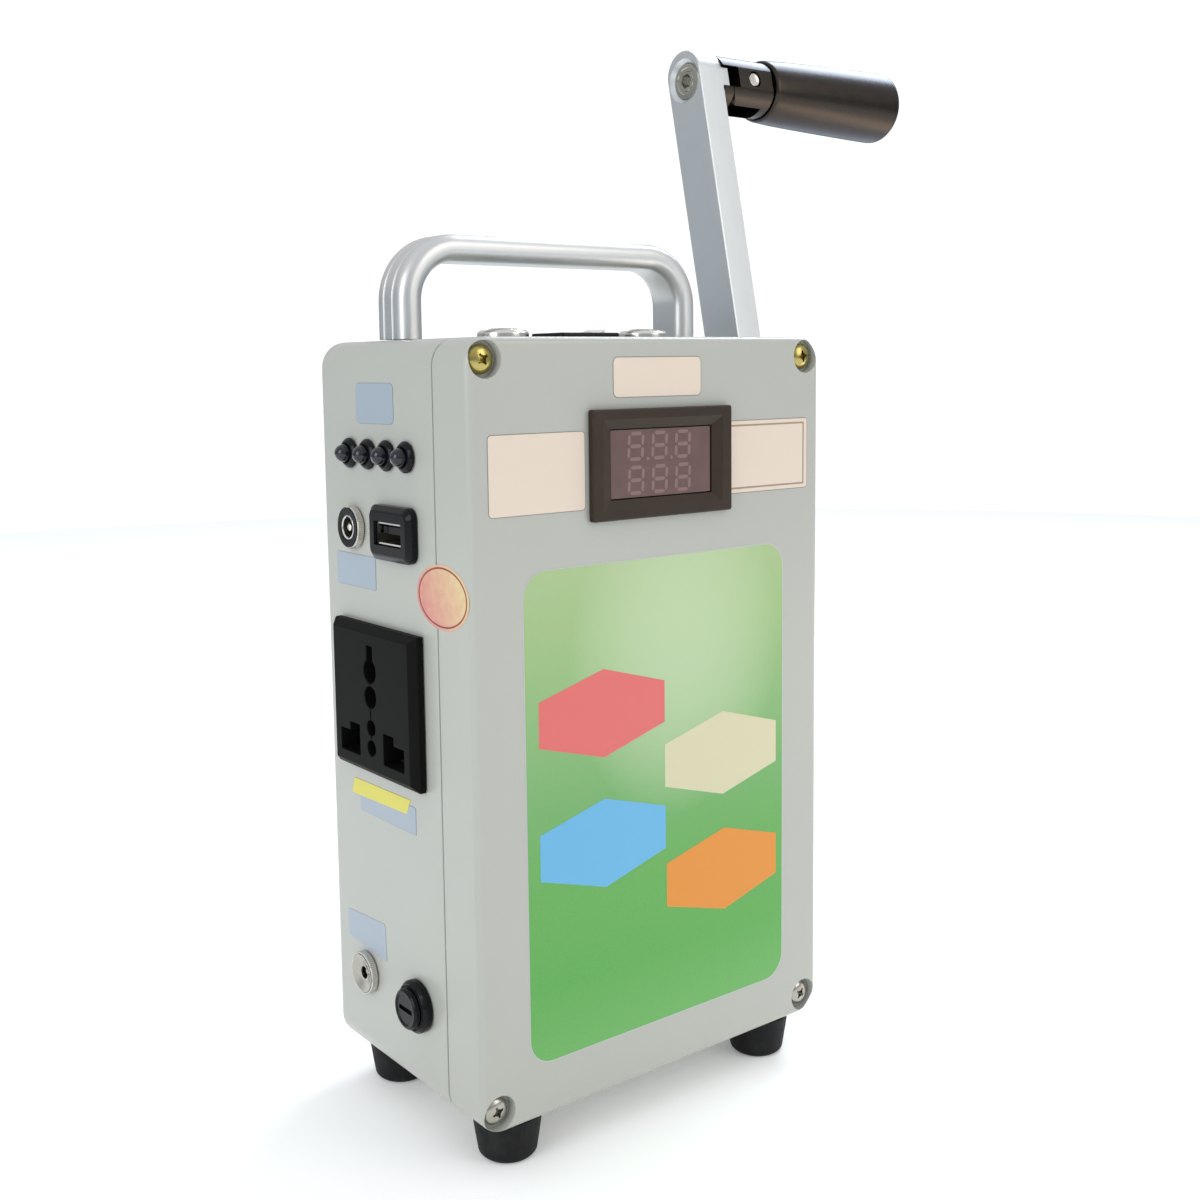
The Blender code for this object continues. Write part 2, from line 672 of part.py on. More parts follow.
def make_housing():
    front = SEAM_Y + GAP / 2
    bm = case_block(front, HALF_DEPTH, 0)
    bevel_where(bm, lies_at("Y", HALF_DEPTH), REAR_RADIUS, 2)
    bevel_where(bm, lies_at("Y", front), SEAM_CHAMFER, 1)
    housing = piece("housing", bm, "case_plastic")
    room = case_cavity(
        "housing_room",
        front - OVERRUN,
        HALF_DEPTH - CASE_WALL,
        POST_RADIUS,
        front - 2 * OVERRUN,
        front + POST_LENGTH,
    )
    combine(housing, room)

    left = bmesh.new()
    for y in LAMP_PLACES:
        add_rod(left, "X", LEFT_OUT, LEFT_IN, LAMP_BARREL_RADIUS + GAP, (0, y, LAMP_HEIGHT), COARSE_SIDES)
    for y, height in JACKS.values():
        add_rod(left, "X", LEFT_OUT, LEFT_IN, JACK_BARREL_RADIUS + GAP, (0, y, height))
    add_rod(left, "X", LEFT_OUT, LEFT_IN, FUSE_BARREL_RADIUS + GAP, (0, FUSE_Y, LOW_ROW_HEIGHT))
    for y, height, width, tall in (
        (USB_CENTRE_Y, OUTLET_HEIGHT, USB_BODY_WIDTH, USB_BODY_HEIGHT),
        (SOCKET_CENTRE_Y, SOCKET_CENTRE_HEIGHT, SOCKET_BODY_WIDTH, SOCKET_BODY_HEIGHT),
    ):
        add_block(
            left,
            (LEFT_OUT, y - width / 2 - GAP, height - tall / 2 - GAP),
            (LEFT_IN, y + width / 2 + GAP, height + tall / 2 + GAP),
        )
    combine(housing, cutter("left_wall_holes", left))

    others = bmesh.new()
    add_rod(
        others,
        "X",
        HALF_WIDTH - CASE_WALL - OVERRUN,
        HALF_WIDTH + OVERRUN,
        BUSH_BARREL_RADIUS + GAP,
        (0, 0, SHAFT_HEIGHT),
    )
    top_low, top_high = INNER_TOP - OVERRUN, CASE_HEIGHT + OVERRUN
    for side in (-1, 1):
        handle_place = (side * HANDLE_LEG_X, HANDLE_SET_BACK, 0)
        add_rod(others, "Z", top_low, top_high, HANDLE_SCREW_RADIUS + GAP, handle_place, COARSE_SIDES)
        button_place = (side * BUTTON_SPREAD, -SWITCH_SET_FORWARD, 0)
        add_rod(others, "Z", top_low, top_high, BUTTON_BARREL_RADIUS + GAP, button_place)
    rocker_u = ROCKER_BODY_WIDTH / 2 + GAP
    rocker_v = ROCKER_BODY_BREADTH / 2 + GAP
    add_block(
        others,
        (-rocker_u, -SWITCH_SET_FORWARD - rocker_v, top_low),
        (rocker_u, -SWITCH_SET_FORWARD + rocker_v, top_high),
    )
    add_peg_holes(others, [place for place in FOOT_PLACES if place[1] > front])
    for x, height in SCREW_PLACES:
        add_rod(
            others,
            "Y",
            front - OVERRUN,
            front + SCREW_GRIP + OVERRUN,
            SCREW_SHANK_RADIUS + GAP,
            (x, 0, height),
            COARSE_SIDES,
        )
    combine(housing, cutter("other_wall_holes", others))


def gasket_outlines(outer_inset, inner_inset):
    middle = (0, CASE_HEIGHT / 2)
    return [
        rounded_rectangle(middle, CASE_WIDTH - 2 * inset, CASE_HEIGHT - 2 * inset, CORNER_RADIUS - inset)
        for inset in (outer_inset, inner_inset)
    ]


def make_lid():
    rear = SEAM_Y - GAP / 2
    bm = case_block(-HALF_DEPTH, rear, 0)
    bevel_where(bm, lies_at("Y", -HALF_DEPTH), FRONT_RADIUS, 2)
    bevel_where(bm, lies_at("Y", rear), SEAM_CHAMFER, 1)
    lid = piece("lid", bm, "case_plastic")
    room = case_cavity(
        "lid_room",
        CASE_WALL - HALF_DEPTH,
        rear + OVERRUN,
        PILLAR_RADIUS,
        -HALF_DEPTH,
        rear + 2 * OVERRUN,
    )
    combine(lid, room)

    groove_inset = (CASE_WALL - GASKET_WIDTH) / 2
    groove = bmesh.new()
    add_plate(
        groove,
        "Y",
        rear - GASKET_HEIGHT,
        rear + OVERRUN,
        *gasket_outlines(groove_inset - GAP / 2, CASE_WALL - groove_inset + GAP / 2),
    )
    combine(lid, cutter("gasket_groove", groove))
    gasket = bmesh.new()
    add_plate(
        gasket,
        "Y",
        rear - GASKET_HEIGHT + GAP / 2,
        SEAM_Y,
        *gasket_outlines(groove_inset, CASE_WALL - groove_inset),
    )
    piece("lid_gasket", gasket, "foot_rubber")

    holes = bmesh.new()
    for x, height in SCREW_PLACES:
        add_rod(
            holes,
            "Y",
            -HALF_DEPTH - OVERRUN,
            SCREW_RECESS_DEPTH - HALF_DEPTH,
            SCREW_RECESS_RADIUS,
            (x, 0, height),
        )
    combine(lid, cutter("screw_recesses", holes))
    shanks = bmesh.new()
    for x, height in SCREW_PLACES:
        add_rod(
            shanks,
            "Y",
            -HALF_DEPTH,
            rear + OVERRUN,
            SCREW_SHANK_RADIUS + GAP,
            (x, 0, height),
            COARSE_SIDES,
        )
    add_block(
        shanks,
        (-METER_CUTOUT_WIDTH / 2, -HALF_DEPTH - OVERRUN, METER_CENTRE_HEIGHT - METER_CUTOUT_HEIGHT / 2),
        (
            METER_CUTOUT_WIDTH / 2,
            CASE_WALL - HALF_DEPTH + OVERRUN,
            METER_CENTRE_HEIGHT + METER_CUTOUT_HEIGHT / 2,
        ),
    )
    add_peg_holes(shanks, [place for place in FOOT_PLACES if place[1] < rear])
    combine(lid, cutter("lid_holes", shanks))


def cross_outline(middle, angle):
    """The cross recess of a screw head, turned by an angle in degrees."""
    half_width = SCREW_CROSS_WIDTH / 2
    half_length = SCREW_CROSS_LENGTH / 2
    arm = [(half_width, half_width), (half_width, half_length), (-half_width, half_length)]
    outline = []
    for quarter in range(4):
        turn = math.radians(90 * quarter + angle)
        for u, v in arm:
            turned_u = u * math.cos(turn) - v * math.sin(turn)
            turned_v = u * math.sin(turn) + v * math.cos(turn)
            outline.append((middle[0] + turned_u, middle[1] + turned_v))
    return outline


def make_lid_screws():
    """Pan heads with a cross recess, their shanks in the housing's posts."""
    seat = SCREW_RECESS_DEPTH - HALF_DEPTH - GAP / 2
    face = seat - SCREW_HEAD_HEIGHT
    profile = [
        (SEAM_Y + SCREW_GRIP, 0),
        (SEAM_Y + SCREW_GRIP, SCREW_SHANK_RADIUS),
        (seat, SCREW_SHANK_RADIUS),
        (seat, SCREW_HEAD_RADIUS),
        (face + SCREW_HEAD_HEIGHT / 2, SCREW_HEAD_RADIUS),
        (face + SCREW_HEAD_HEIGHT / 6, SCREW_HEAD_RADIUS - SCREW_HEAD_HEIGHT / 4),
        (face, SCREW_HEAD_RADIUS - SCREW_HEAD_HEIGHT / 2),
        (face, 0),
    ]
    for name, turn, (x, height) in zip(SCREW_NAMES, SCREW_TURNS, SCREW_PLACES):
        place = (x, 0, height)
        screw = turned("lid_screw_" + name, profile, "nickel", axis="Y", place=place, sides=COARSE_SIDES)
        cross = bmesh.new()
        add_plate(cross, "Y", face - OVERRUN, face + SCREW_CROSS_DEPTH, cross_outline((x, height), turn))
        combine(screw, cutter("screw_cross_" + name, cross))


# Feet

def make_feet():
    """Push-in rubber feet, each held by a barbed peg through the base."""
    names = ("foot_front_left", "foot_front_right", "foot_rear_left", "foot_rear_right")
    barb_low = CASE_WALL + GAP
    barb_high = barb_low + FOOT_BARB_HEIGHT
    profile = [
        (barb_high, 0),
        (barb_high, FOOT_PEG_RADIUS),
        (barb_low, FOOT_BARB_RADIUS),
        (barb_low, FOOT_PEG_RADIUS),
        (-GAP, FOOT_PEG_RADIUS),
        (-GAP, FOOT_TOP_RADIUS),
        (FOOT_ROUND - FOOT_HEIGHT, FOOT_SOLE_RADIUS + FOOT_ROUND / 4),
        (-FOOT_HEIGHT, FOOT_SOLE_RADIUS - FOOT_ROUND),
        (-FOOT_HEIGHT, FOOT_RECESS_RADIUS),
        (FOOT_RECESS_DEPTH - FOOT_HEIGHT, FOOT_RECESS_RADIUS - FOOT_RECESS_DEPTH / 4),
        (FOOT_RECESS_DEPTH - FOOT_HEIGHT, 0),
    ]
    for name, (x, y) in zip(names, FOOT_PLACES):
        turned(name, profile, "foot_rubber", axis="Z", place=(x, y, 0), sides=16)


# Carry handle

def handle_path():
    """The middle of the bar, from one seat over the top to the other, as (x, height)."""
    bend = HANDLE_BEND_RADIUS - HANDLE_THICKNESS / 2
    low = CASE_HEIGHT + GAP
    top = CASE_HEIGHT + HANDLE_RISE - HANDLE_THICKNESS / 2
    corner_x, corner_z = HANDLE_LEG_X - bend, top - bend
    path = [(-HANDLE_LEG_X, low)]
    path += arc((-corner_x, corner_z), bend, 180, 90, 6)
    path += arc((corner_x, corner_z), bend, 90, 0, 6)
    path.append((HANDLE_LEG_X, low))
    return path


def handle_section():
    """The bar's flat oval, with two fine grooves along its outer face."""
    outline = []
    half_u, half_v = HANDLE_THICKNESS / 2, HANDLE_BREADTH / 2
    u, v = half_u - HANDLE_EDGE_RADIUS, half_v - HANDLE_EDGE_RADIUS
    outline += arc((u, v), HANDLE_EDGE_RADIUS, 0, 90, 2)
    outline += arc((-u, v), HANDLE_EDGE_RADIUS, 90, 180, 2)
    outline += arc((-u, -v), HANDLE_EDGE_RADIUS, 180, 270, 2)
    outline += arc((u, -v), HANDLE_EDGE_RADIUS, 270, 360, 2)
    for middle in (-HANDLE_GROOVE_SPACING / 2, HANDLE_GROOVE_SPACING / 2):
        outline.append((half_u, middle - HANDLE_GROOVE_WIDTH / 2))
        outline.append((half_u - HANDLE_GROOVE_DEPTH, middle))
        outline.append((half_u, middle + HANDLE_GROOVE_WIDTH / 2))
    return outline


def make_handle():
    section_curve = bpy.data.curves.new("handle_section", "CURVE")
    section_curve.dimensions = "2D"
    section_curve.fill_mode = "NONE"
    spline = section_curve.splines.new("POLY")
    points = handle_section()
    spline.points.add(len(points) - 1)
    for point, (u, v) in zip(spline.points, points):
        point.co = (-u, v, 0, 1)
    spline.use_cyclic_u = True
    section = bpy.data.objects.new("handle_section", section_curve)
    section.hide_render = True
    section.display_type = "WIRE"
    CUTTERS.objects.link(section)

    curve = bpy.data.curves.new("handle_bar", "CURVE")
    curve.dimensions = "2D"
    curve.fill_mode = "NONE"
    curve.bevel_mode = "OBJECT"
    curve.bevel_object = section
    curve.use_fill_caps = True
    spline = curve.splines.new("POLY")
    path = handle_path()
    spline.points.add(len(path) - 1)
    for point, (u, v) in zip(spline.points, path):
        point.co = (u, v, 0, 1)
    shift = Matrix.Translation((0, HANDLE_SET_BACK, 0))
    bm = solid_of_curve(curve, shift @ PLATE_TURN["Y"], bmesh.new())
    handle = piece("carry_handle", bm, "aluminium")

    bores = bmesh.new()
    head_top = INNER_TOP - GAP
    head_low = head_top - HANDLE_SCREW_HEAD_HEIGHT
    reach = CASE_HEIGHT + HANDLE_SCREW_REACH
    profile = [
        (reach, 0),
        (reach, HANDLE_SCREW_RADIUS),
        (head_top, HANDLE_SCREW_RADIUS),
        (head_top, HANDLE_SCREW_HEAD_RADIUS),
        (head_low, HANDLE_SCREW_HEAD_RADIUS),
        (head_low, 0),
    ]
    for side, name in ((-1, "handle_screw_left"), (1, "handle_screw_right")):
        place = (side * HANDLE_LEG_X, HANDLE_SET_BACK, 0)
        bore_top = reach + OVERRUN
        add_rod(bores, "Z", CASE_HEIGHT - OVERRUN, bore_top, HANDLE_SCREW_RADIUS + GAP, place, COARSE_SIDES)
        turned(name, profile, "steel", axis="Z", place=place, sides=COARSE_SIDES)
    combine(handle, cutter("handle_bores", bores))


# Panel meter

def add_funnel(bm, front, rear, front_size, rear_size, middle_height):
    """A four-sided taper along Y that cuts the sloping frame round the window."""
    add_block(
        bm,
        (-front_size[0] / 2, front, middle_height - front_size[1] / 2),
        (front_size[0] / 2, rear, middle_height + front_size[1] / 2),
    )
    for vert in bm.verts:
        if vert.co.y > rear - WELD:
            vert.co.x *= rear_size[0] / front_size[0]
            vert.co.z = middle_height + (vert.co.z - middle_height) * rear_size[1] / front_size[1]
    return bm


def centred_block(bm, width, height, front, rear, middle_height):
    return add_block(
        bm,
        (-width / 2, front, middle_height - height / 2),
        (width / 2, rear, middle_height + height / 2),
    )


def make_meter():
    face = -HALF_DEPTH - METER_PROUD
    seat = -HALF_DEPTH - GAP
    collar_end = METER_COLLAR_DEPTH - HALF_DEPTH
    flange = centred_block(bmesh.new(), METER_WIDTH, METER_HEIGHT, face, seat, METER_CENTRE_HEIGHT)
    bevel_where(flange, lies_at("Y", face), METER_EDGE_CHAMFER, 2)
    bezel = piece("meter_bezel", flange, "black_plastic")
    collar_width = METER_CUTOUT_WIDTH - 2 * GAP
    collar_height = METER_CUTOUT_HEIGHT - 2 * GAP
    collar = centred_block(
        bmesh.new(), collar_width, collar_height, (face + seat) / 2, collar_end, METER_CENTRE_HEIGHT
    )
    combine(bezel, cutter("meter_collar", collar), "UNION")
    window_front = face + METER_WINDOW_SET_BACK
    opening = (METER_WINDOW_WIDTH, METER_WINDOW_HEIGHT)
    mouth = (METER_WINDOW_WIDTH + 2 * METER_SLOPE, METER_WINDOW_HEIGHT + 2 * METER_SLOPE)
    rate = METER_SLOPE / METER_WINDOW_SET_BACK
    wide_mouth = (mouth[0] + 2 * rate * OVERRUN, mouth[1] + 2 * rate * OVERRUN)
    funnel = add_funnel(bmesh.new(), face - OVERRUN, window_front, wide_mouth, opening, METER_CENTRE_HEIGHT)
    combine(bezel, cutter("meter_funnel", funnel))
    through = centred_block(
        bmesh.new(), *opening, window_front - GAP, collar_end + OVERRUN, METER_CENTRE_HEIGHT
    )
    combine(bezel, cutter("meter_through", through))
    window_rear = window_front + METER_WINDOW_THICKNESS
    window = centred_block(
        bmesh.new(),
        METER_WINDOW_WIDTH - 2 * GAP,
        METER_WINDOW_HEIGHT - 2 * GAP,
        window_front,
        window_rear,
        METER_CENTRE_HEIGHT,
    )
    piece("meter_window", window, "smoked_window")
    body = centred_block(
        bmesh.new(),
        METER_WINDOW_WIDTH - 2 * GAP,
        METER_WINDOW_HEIGHT - 2 * GAP,
        window_rear + GAP,
        collar_end + GAP + OVERRUN,
        METER_CENTRE_HEIGHT,
    )
    meter_body = piece("meter_body", body, "black_plastic")
    back = centred_block(
        bmesh.new(),
        collar_width,
        collar_height,
        collar_end + GAP,
        collar_end + METER_BODY_DEPTH,
        METER_CENTRE_HEIGHT,
    )
    combine(meter_body, cutter("meter_back", back), "UNION")


# Mains socket

def blade_outline(side):
    """One of the two wide openings, stepped at its top for several kinds of blade."""
    inner = SOCKET_CENTRE_Y + side * (SOCKET_BLADE_SPREAD - SOCKET_BLADE_WIDTH / 2)
    outer = SOCKET_CENTRE_Y + side * (SOCKET_BLADE_SPREAD + SOCKET_BLADE_WIDTH / 2)
    core = inner + side * SOCKET_BLADE_CORE
    middle = SOCKET_CENTRE_HEIGHT - SOCKET_BLADE_DROP
    low = middle - SOCKET_BLADE_TALL / 2
    high = middle + SOCKET_BLADE_TALL / 2
    step = low + SOCKET_BLADE_LOW
    return [(inner, low), (outer, low), (outer, step), (core, step), (core, high), (inner, high)]


def key_outline():
    """The earth opening: a slot that runs down into a round hole."""
    half = SOCKET_KEY_SLOT_WIDTH / 2
    meet = math.degrees(math.asin(half / SOCKET_KEY_RADIUS))
    upper = (SOCKET_CENTRE_Y, SOCKET_CENTRE_HEIGHT + SOCKET_KEY_RISE)
    slot_top = upper[1] + SOCKET_KEY_SLOT_LENGTH
    outline = [(SOCKET_CENTRE_Y - half, slot_top), (SOCKET_CENTRE_Y + half, slot_top)]
    outline += reversed(arc(upper, SOCKET_KEY_RADIUS, -270 + meet, 90 - meet, 16))
    return outline


def make_socket():
    face = LEFT_FACE - SOCKET_PROUD
    seat = LEFT_FACE - GAP
    inner_end = LEFT_FACE + SOCKET_BODY_DEPTH
    half_width, half_height = SOCKET_WIDTH / 2, SOCKET_HEIGHT / 2
    flange = bmesh.new()
    add_block(
        flange,
        (face, SOCKET_CENTRE_Y - half_width, SOCKET_CENTRE_HEIGHT - half_height),
        (seat, SOCKET_CENTRE_Y + half_width, SOCKET_CENTRE_HEIGHT + half_height),
    )
    bevel_where(flange, lies_at("X", face), SOCKET_CHAMFER, 1)
    socket = piece("ac_socket", flange, "black_plastic")
    body = bmesh.new()
    add_block(
        body,
        (
            (face + seat) / 2,
            SOCKET_CENTRE_Y - SOCKET_BODY_WIDTH / 2,
            SOCKET_CENTRE_HEIGHT - SOCKET_BODY_HEIGHT / 2,
        ),
        (inner_end, SOCKET_CENTRE_Y + SOCKET_BODY_WIDTH / 2, SOCKET_CENTRE_HEIGHT + SOCKET_BODY_HEIGHT / 2),
    )
    combine(socket, cutter("socket_body", body), "UNION")
    holes = bmesh.new()
    deep = face + SOCKET_HOLE_DEPTH
    add_plate(holes, "X", face - OVERRUN, deep, blade_outline(-1))
    add_plate(holes, "X", face - OVERRUN, deep, blade_outline(1))
    add_plate(holes, "X", face - OVERRUN, deep, key_outline())
    height = SOCKET_CENTRE_HEIGHT + SOCKET_KEY_RISE - SOCKET_KEY_RADIUS
    for web, radius in (
        (SOCKET_KEY_WEB, SOCKET_ROUND_RADIUS),
        (SOCKET_ROUND_WEB, SOCKET_PIN_RADIUS),
        (SOCKET_PIN_WEB, SOCKET_PIN_RADIUS),
    ):
        height -= web + radius
        add_rod(holes, "X", face - OVERRUN, deep, radius, (0, SOCKET_CENTRE_Y, height), COARSE_SIDES)
        height -= radius
    combine(socket, cutter("socket_holes", holes))


# Lamps, jacks, USB outlet and fuse on the left wall

def make_lamps():
    """Four lamps soldered to one strip of board, each in its own holder in the wall."""
    seat = LEFT_FACE - GAP
    face = seat - LAMP_FLANGE_THICKNESS
    barrel_end = LEFT_FACE + LAMP_BARREL_LENGTH
    bore = LAMP_RADIUS + GAP
    holder_profile = [
        (barrel_end, bore),
        (barrel_end, LAMP_BARREL_RADIUS),
        (seat, LAMP_BARREL_RADIUS),
        (seat, LAMP_FLANGE_RADIUS),
        (face + LAMP_FLANGE_THICKNESS / 2, LAMP_FLANGE_RADIUS),
        (face, (LAMP_FLANGE_RADIUS + bore) / 2),
        (face, bore),
    ]
    tip = LEFT_FACE - LAMP_TIP
    lamp_end = tip + LAMP_LENGTH
    strip_start = lamp_end + LAMP_RADIUS
    strip = bmesh.new()
    add_block(
        strip,
        (strip_start, LAMP_PLACES[0] - LAMP_PITCH / 2, LAMP_HEIGHT - LAMP_FLANGE_RADIUS),
        (strip_start + BOARD_THICKNESS, LAMP_PLACES[-1] + LAMP_PITCH / 2, LAMP_HEIGHT + LAMP_FLANGE_RADIUS),
    )
    lamps = piece("status_leds", strip, "lamp_plastic")
    for index, y in enumerate(LAMP_PLACES):
        place = (0, y, LAMP_HEIGHT)
        holder_name = "led_holder_{}".format(index + 1)
        turned(holder_name, holder_profile, "black_plastic", place=place, sides=COARSE_SIDES)
        lamp = bmesh.new()
        add_rod(lamp, "X", tip, strip_start + BOARD_THICKNESS / 2, LAMP_RADIUS, place, COARSE_SIDES)
        bevel_where(lamp, lies_at("X", tip), LAMP_RADIUS * LAMP_ROUNDING, 2)
        combine(lamps, cutter("lamp_{}".format(index + 1), lamp), "UNION")


def make_jacks():
    seat = LEFT_FACE - GAP
    face = seat - JACK_FLANGE_THICKNESS
    end = LEFT_FACE + JACK_BARREL_LENGTH
    floor = face + JACK_FACE_DEPTH
    bottom = face + JACK_BORE_DEPTH
    body_profile = [
        (end, 0),
        (end, JACK_BARREL_RADIUS),
        (seat, JACK_BARREL_RADIUS),
        (seat, JACK_FLANGE_RADIUS),
        (face, JACK_FLANGE_RADIUS),
        (face, JACK_RIM_RADIUS),
        (floor, JACK_RIM_RADIUS),
        (floor, JACK_SLEEVE_RADIUS),
        (face, JACK_SLEEVE_RADIUS),
        (face, JACK_BORE_RADIUS),
        (bottom, JACK_BORE_RADIUS),
        (bottom, JACK_PIN_RADIUS),
        (face + GAP, JACK_PIN_RADIUS),
        (face + GAP, 0),
    ]
    ring_profile = [
        (floor - GAP / 2, JACK_SLEEVE_RADIUS + GAP / 2),
        (floor - GAP / 2, JACK_RIM_RADIUS - GAP / 2),
        (face - GAP / 2, JACK_RIM_RADIUS - GAP / 2),
        (face - GAP / 2, JACK_SLEEVE_RADIUS + GAP / 2),
    ]
    for name, (y, height) in JACKS.items():
        place = (0, y, height)
        turned(name + "_jack", body_profile, "nickel", place=place)
        turned(name + "_insert", ring_profile, "black_plastic", place=place)


def make_usb():
    face = LEFT_FACE - USB_PROUD
    seat = LEFT_FACE - GAP
    inner_end = LEFT_FACE + USB_BODY_DEPTH
    middle = (USB_CENTRE_Y, OUTLET_HEIGHT)
    flange = bmesh.new()
    add_plate(flange, "X", face, seat, rounded_rectangle(middle, USB_WIDTH, USB_HEIGHT, USB_CORNER_RADIUS))
    bevel_where(flange, lies_at("X", face), USB_CHAMFER, 2)
    bezel = piece("usb_bezel", flange, "black_plastic")

    def rectangle(width, height):
        u, v = width / 2, height / 2
        return [(middle[0] + a * u, middle[1] + b * v) for a, b in ((-1, -1), (1, -1), (1, 1), (-1, 1))]

    body = bmesh.new()
    add_plate(body, "X", (face + seat) / 2, inner_end, rectangle(USB_BODY_WIDTH, USB_BODY_HEIGHT))
    combine(bezel, cutter("usb_body", body), "UNION")
    mouth = bmesh.new()
    mouth_width, mouth_height = USB_SHELL_WIDTH + 2 * GAP, USB_SHELL_HEIGHT + 2 * GAP
    add_plate(mouth, "X", face - OVERRUN, inner_end + OVERRUN, rectangle(mouth_width, mouth_height))
    combine(bezel, cutter("usb_mouth", mouth))
    front = face + USB_SHELL_SET_BACK
    shell = bmesh.new()
    add_plate(shell, "X", front, inner_end, rectangle(USB_SHELL_WIDTH, USB_SHELL_HEIGHT))
    usb_shell = piece("usb_shell", shell, "nickel")
    room = bmesh.new()
    room_width = USB_SHELL_WIDTH - 2 * USB_SHELL_WALL
    room_height = USB_SHELL_HEIGHT - 2 * USB_SHELL_WALL
    add_plate(room, "X", front - OVERRUN, inner_end - USB_SHELL_WALL, rectangle(room_width, room_height))
    combine(usb_shell, cutter("usb_room", room))
    tongue = bmesh.new()
    tongue_outline = [
        (u, v + (room_height - USB_TONGUE_THICKNESS) / 4)
        for u, v in rectangle(USB_TONGUE_WIDTH, USB_TONGUE_THICKNESS)
    ]
    tongue_end = inner_end - USB_SHELL_WALL - GAP
    add_plate(tongue, "X", front + USB_TONGUE_SET_BACK, tongue_end, tongue_outline)
    piece("usb_tongue", tongue, "black_plastic")


def make_fuse():
    seat = LEFT_FACE - GAP
    face = seat - FUSE_FLANGE_THICKNESS
    end = LEFT_FACE + FUSE_BARREL_LENGTH
    bottom = face + FUSE_BORE_LENGTH
    place = (0, FUSE_Y, LOW_ROW_HEIGHT)
    holder_profile = [
        (max(end, bottom + CASE_WALL), 0),
        (max(end, bottom + CASE_WALL), FUSE_BARREL_RADIUS),
        (seat, FUSE_BARREL_RADIUS),
        (seat, FUSE_FLANGE_RADIUS),
        (face + FUSE_FLANGE_THICKNESS / 3, FUSE_FLANGE_RADIUS),
        (face, FUSE_FLANGE_RADIUS - FUSE_FLANGE_THICKNESS / 3),
        (face, FUSE_BORE_RADIUS),
        (bottom, FUSE_BORE_RADIUS),
        (bottom, 0),
    ]
    turned("fuse_holder", holder_profile, "black_plastic", place=place)
    knob_seat = face - GAP
    knob_face = knob_seat - FUSE_KNOB_THICKNESS
    stem_end = face + FUSE_STEM_LENGTH
    stem_radius = FUSE_BORE_RADIUS - GAP
    cap_profile = [
        (stem_end, 0),
        (stem_end, stem_radius),
        (knob_seat, stem_radius),
        (knob_seat, FUSE_KNOB_RADIUS),
        (knob_face + FUSE_KNOB_THICKNESS / 3, FUSE_KNOB_RADIUS),
        (knob_face, FUSE_KNOB_RADIUS - FUSE_KNOB_THICKNESS / 3),
        (knob_face, 0),
    ]
    cap = turned("fuse_cap", cap_profile, "black_plastic", place=place)
    slot = bmesh.new()
    half = FUSE_SLOT_WIDTH / 2
    reach = FUSE_KNOB_RADIUS + OVERRUN
    add_block(
        slot,
        (knob_face - OVERRUN, FUSE_Y - reach, LOW_ROW_HEIGHT - half),
        (knob_face + FUSE_SLOT_DEPTH, FUSE_Y + reach, LOW_ROW_HEIGHT + half),
    )
    combine(cap, cutter("fuse_slot", slot))
    fuse = bmesh.new()
    fuse_start = stem_end + GAP
    add_rod(fuse, "X", fuse_start, fuse_start + FUSE_LENGTH, FUSE_GLASS_RADIUS, place, COARSE_SIDES)
    piece("fuse", fuse, "fuse_glass")


# Switches on the top

def make_buttons():
    seat = CASE_HEIGHT + GAP
    ring_top = seat + BUTTON_FLANGE_THICKNESS
    barrel_end = CASE_HEIGHT - BUTTON_BARREL_LENGTH
    bore = BUTTON_RADIUS + GAP
    ring_profile = [
        (ring_top, bore),
        (ring_top, BUTTON_FLANGE_RADIUS - BUTTON_FLANGE_THICKNESS / 3),
        (ring_top - BUTTON_FLANGE_THICKNESS / 3, BUTTON_FLANGE_RADIUS),
        (seat, BUTTON_FLANGE_RADIUS),
        (seat, BUTTON_BARREL_RADIUS),
        (barrel_end, BUTTON_BARREL_RADIUS),
        (barrel_end, bore),
    ]
    cap_top = CASE_HEIGHT + BUTTON_PROUD
    cap_profile = [
        (cap_top, 0),
        (cap_top, BUTTON_RADIUS - BUTTON_TRAVEL / 2),
        (cap_top - BUTTON_TRAVEL / 3, BUTTON_RADIUS),
        (cap_top - BUTTON_STEM_LENGTH, BUTTON_RADIUS),
        (cap_top - BUTTON_STEM_LENGTH, 0),
    ]
    for side, name in ((-1, "left_button"), (1, "right_button")):
        place = (side * BUTTON_SPREAD, -SWITCH_SET_FORWARD, 0)
        turned(name + "_bezel", ring_profile, "nickel", axis="Z", place=place)
        turned(name, cap_profile, "steel", axis="Z", place=place)


